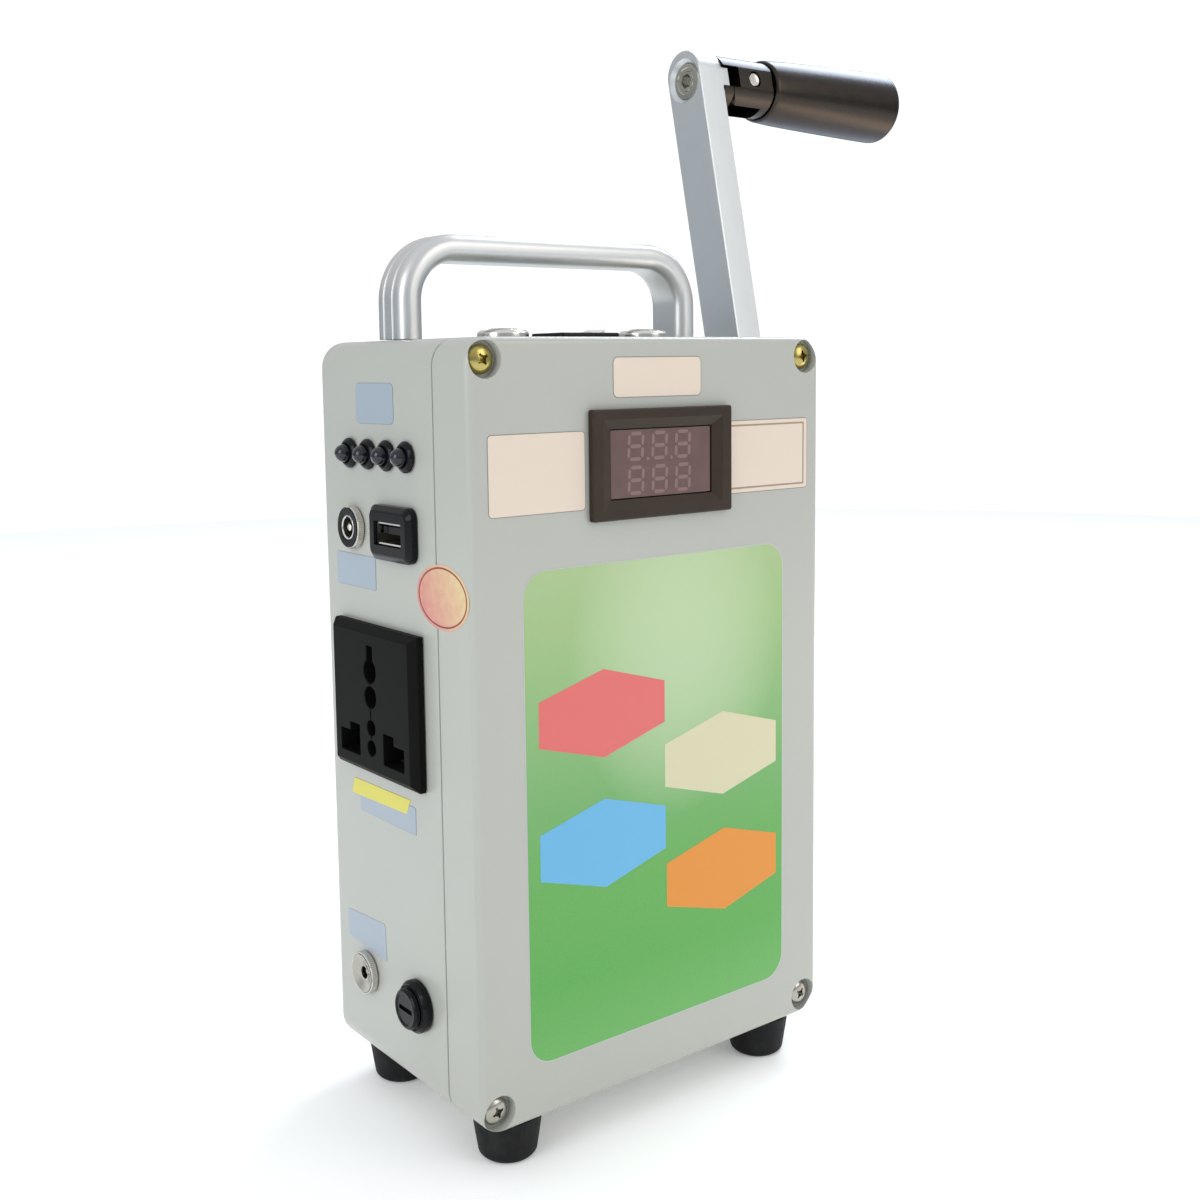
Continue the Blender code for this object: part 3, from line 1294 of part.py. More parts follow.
def make_rocker():
    seat = CASE_HEIGHT + GAP
    middle_y = -SWITCH_SET_FORWARD

    def centred(bm, width, breadth, low, high):
        return add_block(
            bm,
            (-width / 2, middle_y - breadth / 2, low),
            (width / 2, middle_y + breadth / 2, high),
        )

    flange = centred(bmesh.new(), ROCKER_BEZEL_WIDTH, ROCKER_BEZEL_BREADTH, seat, ROCKER_TOP)
    bevel_where(flange, lies_at("Z", ROCKER_TOP), ROCKER_BEZEL_PROUD / 4, 1)
    bezel = piece("rocker_bezel", flange, "black_plastic")
    low = CASE_HEIGHT - ROCKER_BODY_DEPTH
    body = centred(bmesh.new(), ROCKER_BODY_WIDTH, ROCKER_BODY_BREADTH, low, (seat + ROCKER_TOP) / 2)
    combine(bezel, cutter("rocker_body", body), "UNION")
    well = centred(
        bmesh.new(),
        ROCKER_WIDTH + 4 * GAP,
        ROCKER_BREADTH + 2 * GAP,
        ROCKER_TOP - ROCKER_WELL_DEPTH,
        ROCKER_TOP + OVERRUN,
    )
    combine(bezel, cutter("rocker_well", well))

    # The paddle is bent upwards on both sides of its axis, so one side stands up and the other lies in.
    half = ROCKER_WIDTH / 2
    rise = half * math.tan(math.radians(ROCKER_BEND))
    outline = [
        (-half, rise),
        (0, 0),
        (half, rise),
        (half, rise - ROCKER_THICKNESS),
        (0, -ROCKER_THICKNESS - rise),
        (-half, rise - ROCKER_THICKNESS),
    ]
    paddle = bmesh.new()
    add_plate(paddle, "Y", -ROCKER_BREADTH / 2, ROCKER_BREADTH / 2, outline)
    piece("rocker", paddle, "white_plastic", ROCKER_AXIS)


# Crank shaft and its bush

def make_shaft():
    outside = HALF_WIDTH + GAP
    flange_end = outside + BUSH_FLANGE_THICKNESS
    barrel_end = HALF_WIDTH - BUSH_BARREL_LENGTH
    bore = SHAFT_RADIUS + GAP
    bush_profile = [
        (flange_end, bore),
        (flange_end, BUSH_FLANGE_RADIUS - BUSH_FLANGE_THICKNESS / 3),
        (flange_end - BUSH_FLANGE_THICKNESS / 3, BUSH_FLANGE_RADIUS),
        (outside, BUSH_FLANGE_RADIUS),
        (outside, BUSH_BARREL_RADIUS),
        (barrel_end, BUSH_BARREL_RADIUS),
        (barrel_end, bore),
    ]
    turned("wall_bush", bush_profile, "brass", place=(0, 0, SHAFT_HEIGHT))
    spigot_end = ARM_OUTER_FACE - GAP
    tap = ARM_SCREW_RADIUS + GAP
    tap_end = spigot_end - ARM_SCREW_LENGTH - GAP
    shaft_profile = [
        (spigot_end, tap),
        (spigot_end, SPIGOT_RADIUS),
        (SHAFT_STEP, SPIGOT_RADIUS),
        (SHAFT_STEP, SHAFT_RADIUS),
        (SHAFT_INNER_END, SHAFT_RADIUS),
        (SHAFT_INNER_END, 0),
        (tap_end, 0),
        (tap_end, tap),
    ]
    shaft_profile = shaft_profile[6:] + shaft_profile[:6]
    turned("crank_shaft", shaft_profile, "steel", CRANK)
    flange_low = ARM_OUTER_FACE + GAP
    head_low = flange_low + ARM_SCREW_FLANGE_THICKNESS
    head_high = head_low + ARM_SCREW_HEAD_HEIGHT
    screw_profile = [
        (head_high, 0),
        (head_high, ARM_SCREW_HEAD_RADIUS),
        (head_low, ARM_SCREW_HEAD_RADIUS),
        (head_low, ARM_SCREW_FLANGE_RADIUS),
        (flange_low, ARM_SCREW_FLANGE_RADIUS),
        (flange_low, ARM_SCREW_RADIUS),
        (spigot_end - ARM_SCREW_LENGTH, ARM_SCREW_RADIUS),
        (spigot_end - ARM_SCREW_LENGTH, 0),
    ]
    screw = turned("arm_screw", screw_profile, "steel", CRANK)
    key = bmesh.new()
    add_rod(key, "X", head_high - ARM_SCREW_HEAD_HEIGHT / 2, head_high + OVERRUN, ARM_SCREW_RADIUS, sides=6)
    combine(screw, cutter("arm_screw_key", key, CRANK))


# Crank arm

def make_arm():
    half = ARM_WIDTH / 2
    outline = arc((0, ARM_REACH), half, 0, 180, 12) + arc((0, 0), half, 180, 360, 12)
    bm = bmesh.new()
    add_plate(bm, "X", ARM_INNER_FACE, ARM_OUTER_FACE, outline)
    for face in (ARM_INNER_FACE, ARM_OUTER_FACE):
        bevel_where(bm, lies_at("X", face), ARM_CHAMFER, 1)
    arm = piece("crank_arm", bm, "aluminium", CRANK)
    key_half = KEY_HEIGHT / 2
    key = bmesh.new()
    add_block(
        key,
        (ARM_OUTER_FACE - ARM_THICKNESS / 2, ARM_CHAMFER / 2 - half, ARM_REACH - key_half),
        (ARM_OUTER_FACE + KEY_PROUD, half - ARM_CHAMFER / 2, ARM_REACH + key_half),
    )
    combine(arm, cutter("arm_key", key, CRANK), "UNION")
    holes = bmesh.new()
    inside = ARM_INNER_FACE - OVERRUN
    key_end = ARM_OUTER_FACE + KEY_PROUD
    add_rod(holes, "X", inside, ARM_OUTER_FACE + OVERRUN, SPIGOT_RADIUS + GAP)
    pivot_place = (0, 0, ARM_REACH)
    add_rod(holes, "X", inside, key_end + OVERRUN, PIVOT_SCREW_RADIUS + GAP, pivot_place)
    combine(arm, cutter("arm_holes", holes, CRANK))
    sink = bmesh.new()
    head_end = PIVOT_SINK_DEPTH + PIVOT_SCREW_HEAD_HEIGHT
    slope = (PIVOT_SCREW_HEAD_RADIUS - PIVOT_SCREW_RADIUS) / PIVOT_SCREW_HEAD_HEIGHT
    sink_wide = PIVOT_SCREW_HEAD_RADIUS + GAP + slope * (PIVOT_SINK_DEPTH + OVERRUN)
    add_rod(
        sink,
        "X",
        inside,
        ARM_INNER_FACE + head_end + GAP,
        sink_wide,
        pivot_place,
        FINE_SIDES,
        high_radius=PIVOT_SCREW_RADIUS + GAP / 2,
    )
    combine(arm, cutter("pivot_sink", sink, CRANK))

    head_face = ARM_INNER_FACE + PIVOT_SINK_DEPTH
    head_back = head_face + PIVOT_SCREW_HEAD_HEIGHT
    tip = key_end + PIVOT_SCREW_REACH
    screw_profile = [
        (tip, 0),
        (tip, PIVOT_SCREW_RADIUS),
        (head_back, PIVOT_SCREW_RADIUS),
        (head_face, PIVOT_SCREW_HEAD_RADIUS),
        (head_face, 0),
    ]
    screw = turned("grip_pivot_screw", screw_profile, "steel", CRANK, place=pivot_place, sides=FINE_SIDES)
    socket = bmesh.new()
    socket_end = head_face + PIVOT_SOCKET_DEPTH
    add_rod(socket, "X", head_face - OVERRUN, socket_end, PIVOT_SOCKET_RADIUS, pivot_place, 6)
    combine(screw, cutter("pivot_socket", socket, CRANK))


# Folding joint: the tongue stays on the arm, the yoke turns round the pin

NEAR_END = GAP - FOLD_PIN_DISTANCE
KEY_FACE = KEY_PROUD - FOLD_PIN_DISTANCE


def make_tongue():
    """The fixed half of the joint, in the frame of the fold pin."""
    half = TONGUE_THICKNESS / 2
    block_low = TONGUE_END_RADIUS
    profile = [(NEAR_END, block_low), (NEAR_END, -block_low)] + arc((0, 0), TONGUE_END_RADIUS, -90, 90, 10)
    bm = bmesh.new()
    add_plate(bm, "Y", -half, half, profile)
    tongue = piece("fold_tongue", bm, "black_anodised", FOLD)

    # Below the tongue a block fills the corner between the arm and the yoke.
    rounded_block = add_rod(bmesh.new(), "X", NEAR_END, -YOKE_RADIUS - GAP, YOKE_RADIUS)
    block = cutter("knuckle_block", rounded_block, FOLD)
    key_low = -KEY_HEIGHT / 2 - GAP
    trim = bmesh.new()
    add_block(
        trim,
        (NEAR_END - OVERRUN, -YOKE_RADIUS - OVERRUN, key_low),
        (0, YOKE_RADIUS + OVERRUN, YOKE_RADIUS + OVERRUN),
    )
    combine(block, cutter("knuckle_trim", trim, FOLD))
    sole = bmesh.new()
    add_block(
        sole,
        (NEAR_END - OVERRUN, -YOKE_RADIUS - OVERRUN, -YOKE_RADIUS - OVERRUN),
        (0, YOKE_RADIUS + OVERRUN, KNUCKLE_DROP - YOKE_RADIUS),
    )
    combine(block, cutter("knuckle_sole", sole, FOLD))
    swing = bmesh.new()
    reach = YOKE_RADIUS + OVERRUN
    add_rod(swing, "Y", -reach, reach, YOKE_CAM_RADIUS + GAP, sides=FINE_SIDES)
    combine(block, cutter("knuckle_swing", swing, FOLD))
    combine(tongue, block, "UNION")

    holes = bmesh.new()
    add_block(
        holes,
        (NEAR_END - OVERRUN, -YOKE_RADIUS - OVERRUN, key_low),
        (KEY_FACE + GAP, YOKE_RADIUS + OVERRUN, KEY_HEIGHT / 2 + GAP),
    )
    combine(tongue, cutter("tongue_key_slot", holes, FOLD))
    bores = bmesh.new()
    screw_end = KEY_FACE + PIVOT_SCREW_REACH + GAP
    add_rod(bores, "X", NEAR_END, screw_end, PIVOT_SCREW_RADIUS + GAP, sides=COARSE_SIDES)
    add_rod(bores, "Y", -reach, reach, FOLD_PIN_RADIUS + GAP, sides=COARSE_SIDES)
    combine(tongue, cutter("tongue_bores", bores, FOLD))


def make_yoke():
    """The moving half: a fork round the tongue, with a window over the arm's key."""
    yoke = piece(
        "fold_yoke",
        add_rod(bmesh.new(), "X", NEAR_END, YOKE_REACH, YOKE_RADIUS, sides=FINE_SIDES),
        "black_anodised",
        FOLD,
    )
    reach = YOKE_RADIUS + OVERRUN
    corner = cutter(
        "yoke_corner",
        add_block(bmesh.new(), (NEAR_END - OVERRUN, -reach, -reach), (0, reach, 0)),
        FOLD,
    )
    cam = bmesh.new()
    add_rod(cam, "Y", -reach - OVERRUN, reach + OVERRUN, YOKE_CAM_RADIUS, sides=FINE_SIDES)
    combine(corner, cutter("yoke_cam", cam, FOLD))
    combine(yoke, corner)

    window = bmesh.new()
    half = KEY_HEIGHT / 2 + GAP
    add_block(window, (NEAR_END - OVERRUN, -reach, -half), (KEY_FACE + YOKE_WINDOW_DEPTH, reach, half))
    combine(yoke, cutter("yoke_window", window, FOLD))

    slot = bmesh.new()
    slot_half = TONGUE_THICKNESS / 2 + GAP
    slot_end = TONGUE_END_RADIUS + GAP
    add_block(slot, (NEAR_END - OVERRUN, -slot_half, -reach), (slot_end, slot_half, slot_end))
    combine(yoke, cutter("yoke_slot", slot, FOLD))

    bores = bmesh.new()
    add_rod(bores, "Y", -reach, reach, FOLD_PIN_RADIUS + GAP, sides=COARSE_SIDES)
    seat = YOKE_REACH - SPINDLE_SEAT - GAP
    add_rod(bores, "X", seat, YOKE_REACH + OVERRUN, SPINDLE_RADIUS + GAP, sides=COARSE_SIDES)
    combine(yoke, cutter("yoke_bores", bores, FOLD))

    flats = bmesh.new()
    flat = YOKE_RADIUS - YOKE_FLAT_DEPTH
    for side in (-1, 1):
        low, high = sorted((side * flat, side * reach))
        add_block(flats, (NEAR_END - OVERRUN, low, -reach), (YOKE_REACH - YOKE_FLAT_DEPTH, high, reach))
    combine(yoke, cutter("yoke_flats", flats, FOLD))

    pin = bmesh.new()
    pin_half = flat - GAP
    add_rod(pin, "Y", -pin_half, pin_half, FOLD_PIN_RADIUS, sides=COARSE_SIDES)
    piece("fold_pin", pin, "steel", FOLD)


# Grip

def make_grip():
    spindle_low = YOKE_REACH - SPINDLE_SEAT
    sink_floor = GRIP_END - GRIP_SINK_DEPTH
    bore = SPINDLE_RADIUS + GAP
    grip_profile = [
        (GRIP_END, GRIP_SINK_RADIUS),
        (GRIP_END, GRIP_END_RADIUS - GRIP_END_CHAMFER),
        (GRIP_END - GRIP_END_CHAMFER, GRIP_END_RADIUS),
        (GRIP_START + GRIP_SHOULDER_DISTANCE, GRIP_SHOULDER_RADIUS),
        (GRIP_START + GRIP_END_CHAMFER, GRIP_NECK_RADIUS),
        (GRIP_START, GRIP_NECK_RADIUS - GRIP_END_CHAMFER / 2),
        (GRIP_START, bore),
        (sink_floor, bore),
        (sink_floor, GRIP_SINK_RADIUS),
    ]
    turned("hand_grip", grip_profile, "black_anodised", GRIP, sides=FINE_SIDES)
    tap = GRIP_SCREW_RADIUS + GAP
    spindle_end = sink_floor - GAP
    tap_end = spindle_end - GRIP_SCREW_LENGTH - GAP
    spindle_profile = [
        (tap_end, 0),
        (tap_end, tap),
        (spindle_end, tap),
        (spindle_end, SPINDLE_RADIUS),
        (spindle_low, SPINDLE_RADIUS),
        (spindle_low, 0),
    ]
    turned("grip_spindle", spindle_profile, "steel", FOLD, sides=COARSE_SIDES)
    head_low = sink_floor + GAP
    head_high = head_low + GRIP_SCREW_HEAD_HEIGHT
    screw_profile = [
        (head_high, 0),
        (head_high, GRIP_SCREW_HEAD_RADIUS - GRIP_SCREW_HEAD_HEIGHT / 3),
        (head_high - GRIP_SCREW_HEAD_HEIGHT / 3, GRIP_SCREW_HEAD_RADIUS),
        (head_low, GRIP_SCREW_HEAD_RADIUS),
        (head_low, GRIP_SCREW_RADIUS),
        (spindle_end - GRIP_SCREW_LENGTH, GRIP_SCREW_RADIUS),
        (spindle_end - GRIP_SCREW_LENGTH, 0),
    ]
    screw = turned("grip_end_screw", screw_profile, "steel", FOLD, sides=COARSE_SIDES)
    key = bmesh.new()
    key_floor = head_high - GRIP_SCREW_HEAD_HEIGHT / 2
    add_rod(key, "X", key_floor, head_high + OVERRUN, GRIP_SCREW_RADIUS, sides=6)
    combine(screw, cutter("grip_screw_key", key, FOLD))


# Gear train

def involute(radius, base):
    angle = math.acos(base / radius)
    return math.tan(angle) - angle


def gear_outline(teeth, tooth_angle):
    """A spur gear's outline. One tooth points along tooth_angle, in degrees from Y towards Z."""
    pitch = GEAR_MODULE * teeth / 2
    base = pitch * math.cos(math.radians(PRESSURE_ANGLE))
    tip = pitch + ADDENDUM_SHARE * GEAR_MODULE
    root = pitch - DEDENDUM_SHARE * GEAR_MODULE
    half_pitch = math.pi / (2 * teeth) - BACKLASH / (4 * pitch) + involute(pitch, base)
    start = max(base, root)
    radii = [start, tip]
    flank = [(radius, half_pitch - involute(radius, base)) for radius in radii]
    if root < base:
        flank.insert(0, (root, flank[0][1]))
    outline = []
    for tooth in range(teeth):
        middle = math.radians(tooth_angle) + 2 * math.pi * tooth / teeth
        angles = [(radius, middle - half) for radius, half in flank]
        angles += [(radius, middle + half) for radius, half in reversed(flank)]
        outline += [(radius * math.cos(angle), radius * math.sin(angle)) for radius, angle in angles]
    return outline


def circle(radius, sides=SIDES):
    return arc((0, 0), radius, 0, 360 * (sides - 1) / sides, sides - 1)


def make_gears():
    down, up = -90, 90
    drive = bmesh.new()
    drive_bore = circle(SHAFT_RADIUS + GAP)
    drive_outline = gear_outline(DRIVE_TEETH, down + ARM_TILT)
    add_plate(drive, "X", DRIVE_GEAR_X, DRIVE_GEAR_END, drive_outline, drive_bore)
    drive_gear = piece("drive_gear", drive, "gear_plastic", CRANK)
    hub = bmesh.new()
    hub_low = DRIVE_GEAR_X - DRIVE_HUB_LENGTH
    add_plate(hub, "X", hub_low, DRIVE_GEAR_X + DRIVE_GEAR_WIDTH / 2, circle(DRIVE_HUB_RADIUS), drive_bore)
    combine(drive_gear, cutter("drive_hub", hub, CRANK), "UNION")

    idler = bmesh.new()
    idler_bore = circle(IDLER_PIN_RADIUS + GAP, COARSE_SIDES)
    add_plate(idler, "X", IDLER_GEAR_X, IDLER_GEAR_END, gear_outline(IDLER_TEETH, down), idler_bore)
    idler_gear = piece("idler_gear", idler, "gear_plastic", IDLER)
    small = bmesh.new()
    half_tooth = 180 / PINION_TEETH
    pinion_outline = gear_outline(PINION_TEETH, up + half_tooth)
    add_plate(small, "X", DRIVE_GEAR_X, IDLER_GEAR_X + IDLER_GEAR_WIDTH / 2, pinion_outline, idler_bore)
    combine(idler_gear, cutter("idler_pinion", small, IDLER), "UNION")

    pinion = bmesh.new()
    shaft_bore = circle(ROTOR_SHAFT_RADIUS + GAP, COARSE_SIDES)
    add_plate(pinion, "X", IDLER_GEAR_X, IDLER_GEAR_END, pinion_outline, shaft_bore)
    piece("generator_pinion", pinion, "brass", ROTOR)


def make_plates():
    """Two plates that carry the shafts. The inner one bears the posts and the idler's pin."""
    foot, top = PLATE_FOOT_HALF_WIDTH, PLATE_TOP_HALF_WIDTH
    shoulder = SHAFT_HEIGHT - GEAR_MODULE * DRIVE_TEETH / 2
    outline = [
        (-foot, PLATE_LOW),
        (foot, PLATE_LOW),
        (foot, IDLER_HEIGHT),
        (top, shoulder + PLATE_TOP_HALF_WIDTH),
        (top, PLATE_HIGH),
        (-top, PLATE_HIGH),
        (-top, shoulder + PLATE_TOP_HALF_WIDTH),
        (-foot, IDLER_HEIGHT),
    ]
    post_places = [
        (side * (half - PLATE_POST_INSET), height)
        for half, height in ((foot, PLATE_LOW + PLATE_POST_INSET), (top, PLATE_HIGH - PLATE_POST_INSET))
        for side in (-1, 1)
    ]
    for name, low, shaft_hole in (
        ("inner_plate", INNER_PLATE_X, SHAFT_RADIUS + GAP),
        ("outer_plate", OUTER_PLATE_X, BUSH_BARREL_RADIUS + GAP),
    ):
        bm = bmesh.new()
        add_plate(bm, "X", low, low + PLATE_THICKNESS, outline)
        plate = piece(name, bm, "aluminium")
        holes = bmesh.new()
        ends = (low - OVERRUN, low + PLATE_THICKNESS + OVERRUN)
        add_rod(holes, "X", *ends, shaft_hole, (0, 0, SHAFT_HEIGHT))
        add_rod(holes, "X", *ends, ROTOR_SHAFT_RADIUS + GAP, (0, 0, ROTOR_HEIGHT), COARSE_SIDES)
        if name == "outer_plate":
            add_rod(holes, "X", *ends, IDLER_PIN_RADIUS + GAP, (0, 0, IDLER_HEIGHT), COARSE_SIDES)
        combine(plate, cutter(name + "_holes", holes))
        if name == "inner_plate":
            posts = bmesh.new()
            rooted = low + PLATE_THICKNESS / 2
            pin_end = OUTER_PLATE_X + PLATE_THICKNESS
            add_rod(posts, "X", rooted, pin_end, IDLER_PIN_RADIUS, (0, 0, IDLER_HEIGHT), COARSE_SIDES)
            for y, height in post_places:
                place = (0, y, height)
                add_rod(posts, "X", rooted, OUTER_PLATE_X - GAP, PLATE_POST_RADIUS, place, COARSE_SIDES)
            combine(plate, cutter("plate_posts", posts), "UNION")


def make_generator():
    place = (0, 0, ROTOR_HEIGHT)
    inner = GENERATOR_RADIUS - GENERATOR_WALL
    hole = ROTOR_SHAFT_RADIUS + GAP
    can_profile = [
        (GENERATOR_END, hole),
        (GENERATOR_END, GENERATOR_RADIUS - GENERATOR_WALL / 2),
        (GENERATOR_END - GENERATOR_WALL / 2, GENERATOR_RADIUS),
        (GENERATOR_X, GENERATOR_RADIUS),
        (GENERATOR_X, hole),
        (GENERATOR_X + GENERATOR_WALL, hole),
        (GENERATOR_X + GENERATOR_WALL, inner),
        (GENERATOR_END - GENERATOR_WALL, inner),
        (GENERATOR_END - GENERATOR_WALL, hole),
    ]
    turned("generator_can", can_profile, "steel", place=place)
    rotor_low = GENERATOR_X + GENERATOR_WALL + ROTOR_END_PLAY
    rotor_high = GENERATOR_END - GENERATOR_WALL - ROTOR_END_PLAY
    shaft_high = OUTER_PLATE_X + PLATE_THICKNESS
    rotor_profile = [
        (shaft_high, 0),
        (shaft_high, ROTOR_SHAFT_RADIUS),
        (rotor_high, ROTOR_SHAFT_RADIUS),
        (rotor_high, ROTOR_RADIUS),
        (rotor_low, ROTOR_RADIUS),
        (rotor_low, ROTOR_SHAFT_RADIUS),
        (GENERATOR_X, ROTOR_SHAFT_RADIUS),
        (GENERATOR_X, 0),
    ]
    turned("generator_rotor", rotor_profile, "steel", ROTOR, sides=COARSE_SIDES)


# Battery and electronics

def make_electronics():
    """The cells in one sleeve on the base, and the board that stands against the rear wall."""
    cell_height = CASE_WALL + GAP + CELL_RADIUS
    pitch = 2 * CELL_RADIUS + GAP
    last = pitch * (CELL_COUNT - 1) / 2
    sleeve = bmesh.new()
    core_half = CELL_LENGTH / 2 - GAP
    core_rise = CELL_RADIUS * CELL_SLEEVE_SHARE
    core_low = (-last, -core_half, cell_height - core_rise)
    core_high = (last, core_half, cell_height + core_rise)
    add_block(sleeve, core_low, core_high)
    pack = piece("battery_pack", sleeve, "cell_sleeve")
    cells = bmesh.new()
    for index in range(CELL_COUNT):
        place = (pitch * index - last, 0, cell_height)
        add_rod(cells, "Y", -CELL_LENGTH / 2, CELL_LENGTH / 2, CELL_RADIUS, place, COARSE_SIDES)
    combine(pack, cutter("battery_cells", cells), "UNION")

    wall = HALF_DEPTH - CASE_WALL
    board_rear = wall - BOARD_STAND_OFF
    board_front = board_rear - BOARD_THICKNESS
    rooted = (board_front + board_rear) / 2
    board_block = bmesh.new()
    half_board = BOARD_WIDTH / 2
    board_high = BOARD_LOW + BOARD_HEIGHT
    add_block(board_block, (-half_board, board_front, BOARD_LOW), (half_board, board_rear, board_high))
    board = piece("inverter_board", board_block, "circuit_board")
    fitted = bmesh.new()
    for side in (-1, 1):
        for height in (BOARD_LOW + BOARD_SPACER_INSET, board_high - BOARD_SPACER_INSET):
            place = (side * (half_board - BOARD_SPACER_INSET), 0, height)
            add_rod(fitted, "Y", rooted, wall - GAP, BOARD_SPACER_RADIUS, place, COARSE_SIDES)
    combine(board, cutter("board_spacers", fitted), "UNION")
    transformer = bmesh.new()
    low = BOARD_LOW + BOARD_SPACER_INSET
    add_block(
        transformer,
        (-TRANSFORMER_WIDTH / 2, rooted - TRANSFORMER_DEPTH, low),
        (TRANSFORMER_WIDTH / 2, rooted, low + TRANSFORMER_HEIGHT),
    )
    bevel_where(transformer, runs_along("Z"), TRANSFORMER_CHAMFER, 1)
    combine(board, cutter("inverter_transformer", transformer), "UNION")


make_housing()
make_lid()
make_lid_screws()
make_feet()
make_handle()
make_meter()
make_socket()
make_lamps()
make_jacks()
make_usb()
make_fuse()
make_buttons()
make_rocker()
make_shaft()
make_arm()
make_tongue()
make_yoke()
make_grip()
make_gears()
make_plates()
make_generator()
make_electronics()
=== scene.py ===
# %% [markdown]
# Hand crank generator: the looks
#
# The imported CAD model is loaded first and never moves. Each cell below makes one piece of the real
# object a little finer than its CAD solid, gives it a finish, and lets it ride on the body that
# carries it. Sizes are in millimetres and are scaled once, when a piece is put in its place.

# %% The frame
import json
import math

import bmesh
import bpy
from mathutils import Matrix, Vector


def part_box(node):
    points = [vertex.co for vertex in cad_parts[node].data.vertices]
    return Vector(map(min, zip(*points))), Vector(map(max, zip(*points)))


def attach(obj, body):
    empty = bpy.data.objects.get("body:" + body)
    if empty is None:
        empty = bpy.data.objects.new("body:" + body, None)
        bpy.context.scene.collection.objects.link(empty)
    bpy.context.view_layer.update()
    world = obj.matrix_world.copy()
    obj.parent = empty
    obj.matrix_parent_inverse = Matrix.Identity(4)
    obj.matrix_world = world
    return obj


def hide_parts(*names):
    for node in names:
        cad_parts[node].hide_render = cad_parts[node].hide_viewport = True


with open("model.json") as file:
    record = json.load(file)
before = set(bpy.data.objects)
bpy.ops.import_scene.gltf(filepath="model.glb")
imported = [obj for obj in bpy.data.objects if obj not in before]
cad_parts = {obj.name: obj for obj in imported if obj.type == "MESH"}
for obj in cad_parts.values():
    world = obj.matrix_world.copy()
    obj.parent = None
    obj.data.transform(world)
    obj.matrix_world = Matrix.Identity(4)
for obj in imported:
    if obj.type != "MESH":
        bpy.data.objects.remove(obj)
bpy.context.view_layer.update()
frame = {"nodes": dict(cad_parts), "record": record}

print("CAD nodes:", len(frame["nodes"]))

# %% [markdown]
# The box's own frame
#
# Sizes are measured from the middle of the box's underside. X points to the crank, Y to the rear, Z
# up. Every fitting is made in a frame of its own, whose third axis points out of the wall that
# carries it, so one lathe and one slab tool serve all walls.

# %% Frames for the walls and for the crank
MM = 0.001
GAP = 0.3
CASE_WIDTH, CASE_DEPTH, CASE_HEIGHT = 120, 75, 200
HALF_WIDTH, HALF_DEPTH = CASE_WIDTH / 2, CASE_DEPTH / 2
SHAFT_HEIGHT, ARM_TILT = 145, 11.73
FOLD_PIN_X, ARM_REACH = 91.5, 140.6
SWITCH_Y, ROCKER_TILT = -1.5, 9
ROCKER_AXIS_HEIGHT = CASE_HEIGHT + 0.6

housing_low, housing_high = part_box("housing")
UNDERSIDE = Vector((
    (housing_low.x + housing_high.x) / 2,
    housing_high.y - HALF_DEPTH * MM,
    housing_low.z,
))
BOX = Matrix.Translation(UNDERSIDE) @ Matrix.Scale(MM, 4)


def axes(right, up, out):
    """A turn that sends X, Y and Z to three directions."""
    return Matrix((right, up, out)).transposed().to_4x4()


FRONT_AXES = axes((1, 0, 0), (0, 0, 1), (0, -1, 0))
LEFT_AXES = axes((0, -1, 0), (0, 0, 1), (-1, 0, 0))
UNDER_AXES = axes((1, 0, 0), (0, -1, 0), (0, 0, -1))
ALONG_X = axes((0, 1, 0), (0, 0, 1), (1, 0, 0))
ALONG_Y = axes((1, 0, 0), (0, 0, -1), (0, 1, 0))


def at(x, y, height, turn=Matrix()):
    return BOX @ Matrix.Translation((x, y, height)) @ turn


def on_front(x=0, height=0):
    return at(x, -HALF_DEPTH, height, FRONT_AXES)


def on_left(y=0, height=0):
    return at(-HALF_WIDTH, y, height, LEFT_AXES)


def on_top(x=0, y=0):
    return at(x, y, CASE_HEIGHT)


def tilt(degrees, axis):
    return Matrix.Rotation(math.radians(degrees), 4, axis)


CRANK = at(0, 0, SHAFT_HEIGHT, tilt(-ARM_TILT, "X"))
FOLD = CRANK @ Matrix.Translation((FOLD_PIN_X, 0, ARM_REACH))
ROCKER = at(0, SWITCH_Y, ROCKER_AXIS_HEIGHT, tilt(-ROCKER_TILT, "Y"))
print("underside at", [round(value, 4) for value in UNDERSIDE])

# %% [markdown]
# Camera
#
# The camera's place, turn and focal length were solved from the box's corners in the photograph. The
# photograph was cropped off centre, so the lens is shifted a little: turning the camera instead
# would tilt the upright edges.

# %% Camera
IMAGE_SIZE, SENSOR = 1200, 36
FOCAL_PIXELS = 1423.276
CENTRE_U, CENTRE_V = 578.23, 523.021
HEADING, ELEVATION, ROLL = -37.444, 6.303, 0.765
CAMERA_PLACE = (-244.343, -320.688, 192.704)

camera_data = bpy.data.cameras.new("camera")
camera_data.sensor_width = SENSOR
camera_data.lens = FOCAL_PIXELS / IMAGE_SIZE * SENSOR
camera_data.shift_x = (IMAGE_SIZE / 2 - CENTRE_U) / IMAGE_SIZE
camera_data.shift_y = (CENTRE_V - IMAGE_SIZE / 2) / IMAGE_SIZE
camera_data.clip_end = 50
camera = bpy.data.objects.new("camera", camera_data)
turn = tilt(HEADING, "Z") @ tilt(90 - ELEVATION, "X") @ tilt(-ROLL, "Z")
camera.matrix_world = Matrix.Translation(BOX @ Vector(CAMERA_PLACE)) @ turn
bpy.context.scene.collection.objects.link(camera)
bpy.context.scene.camera = camera
print("camera lens", round(camera_data.lens, 2), "mm")

# %% [markdown]
# Shader maths in Python
#
# A material is a graph of nodes. Written as an expression it stays readable: Value wraps an output
# socket, and each operator adds one Math node. Finish wraps a whole material, and its add method
# makes any other node from its type, its settings and what goes into its sockets.

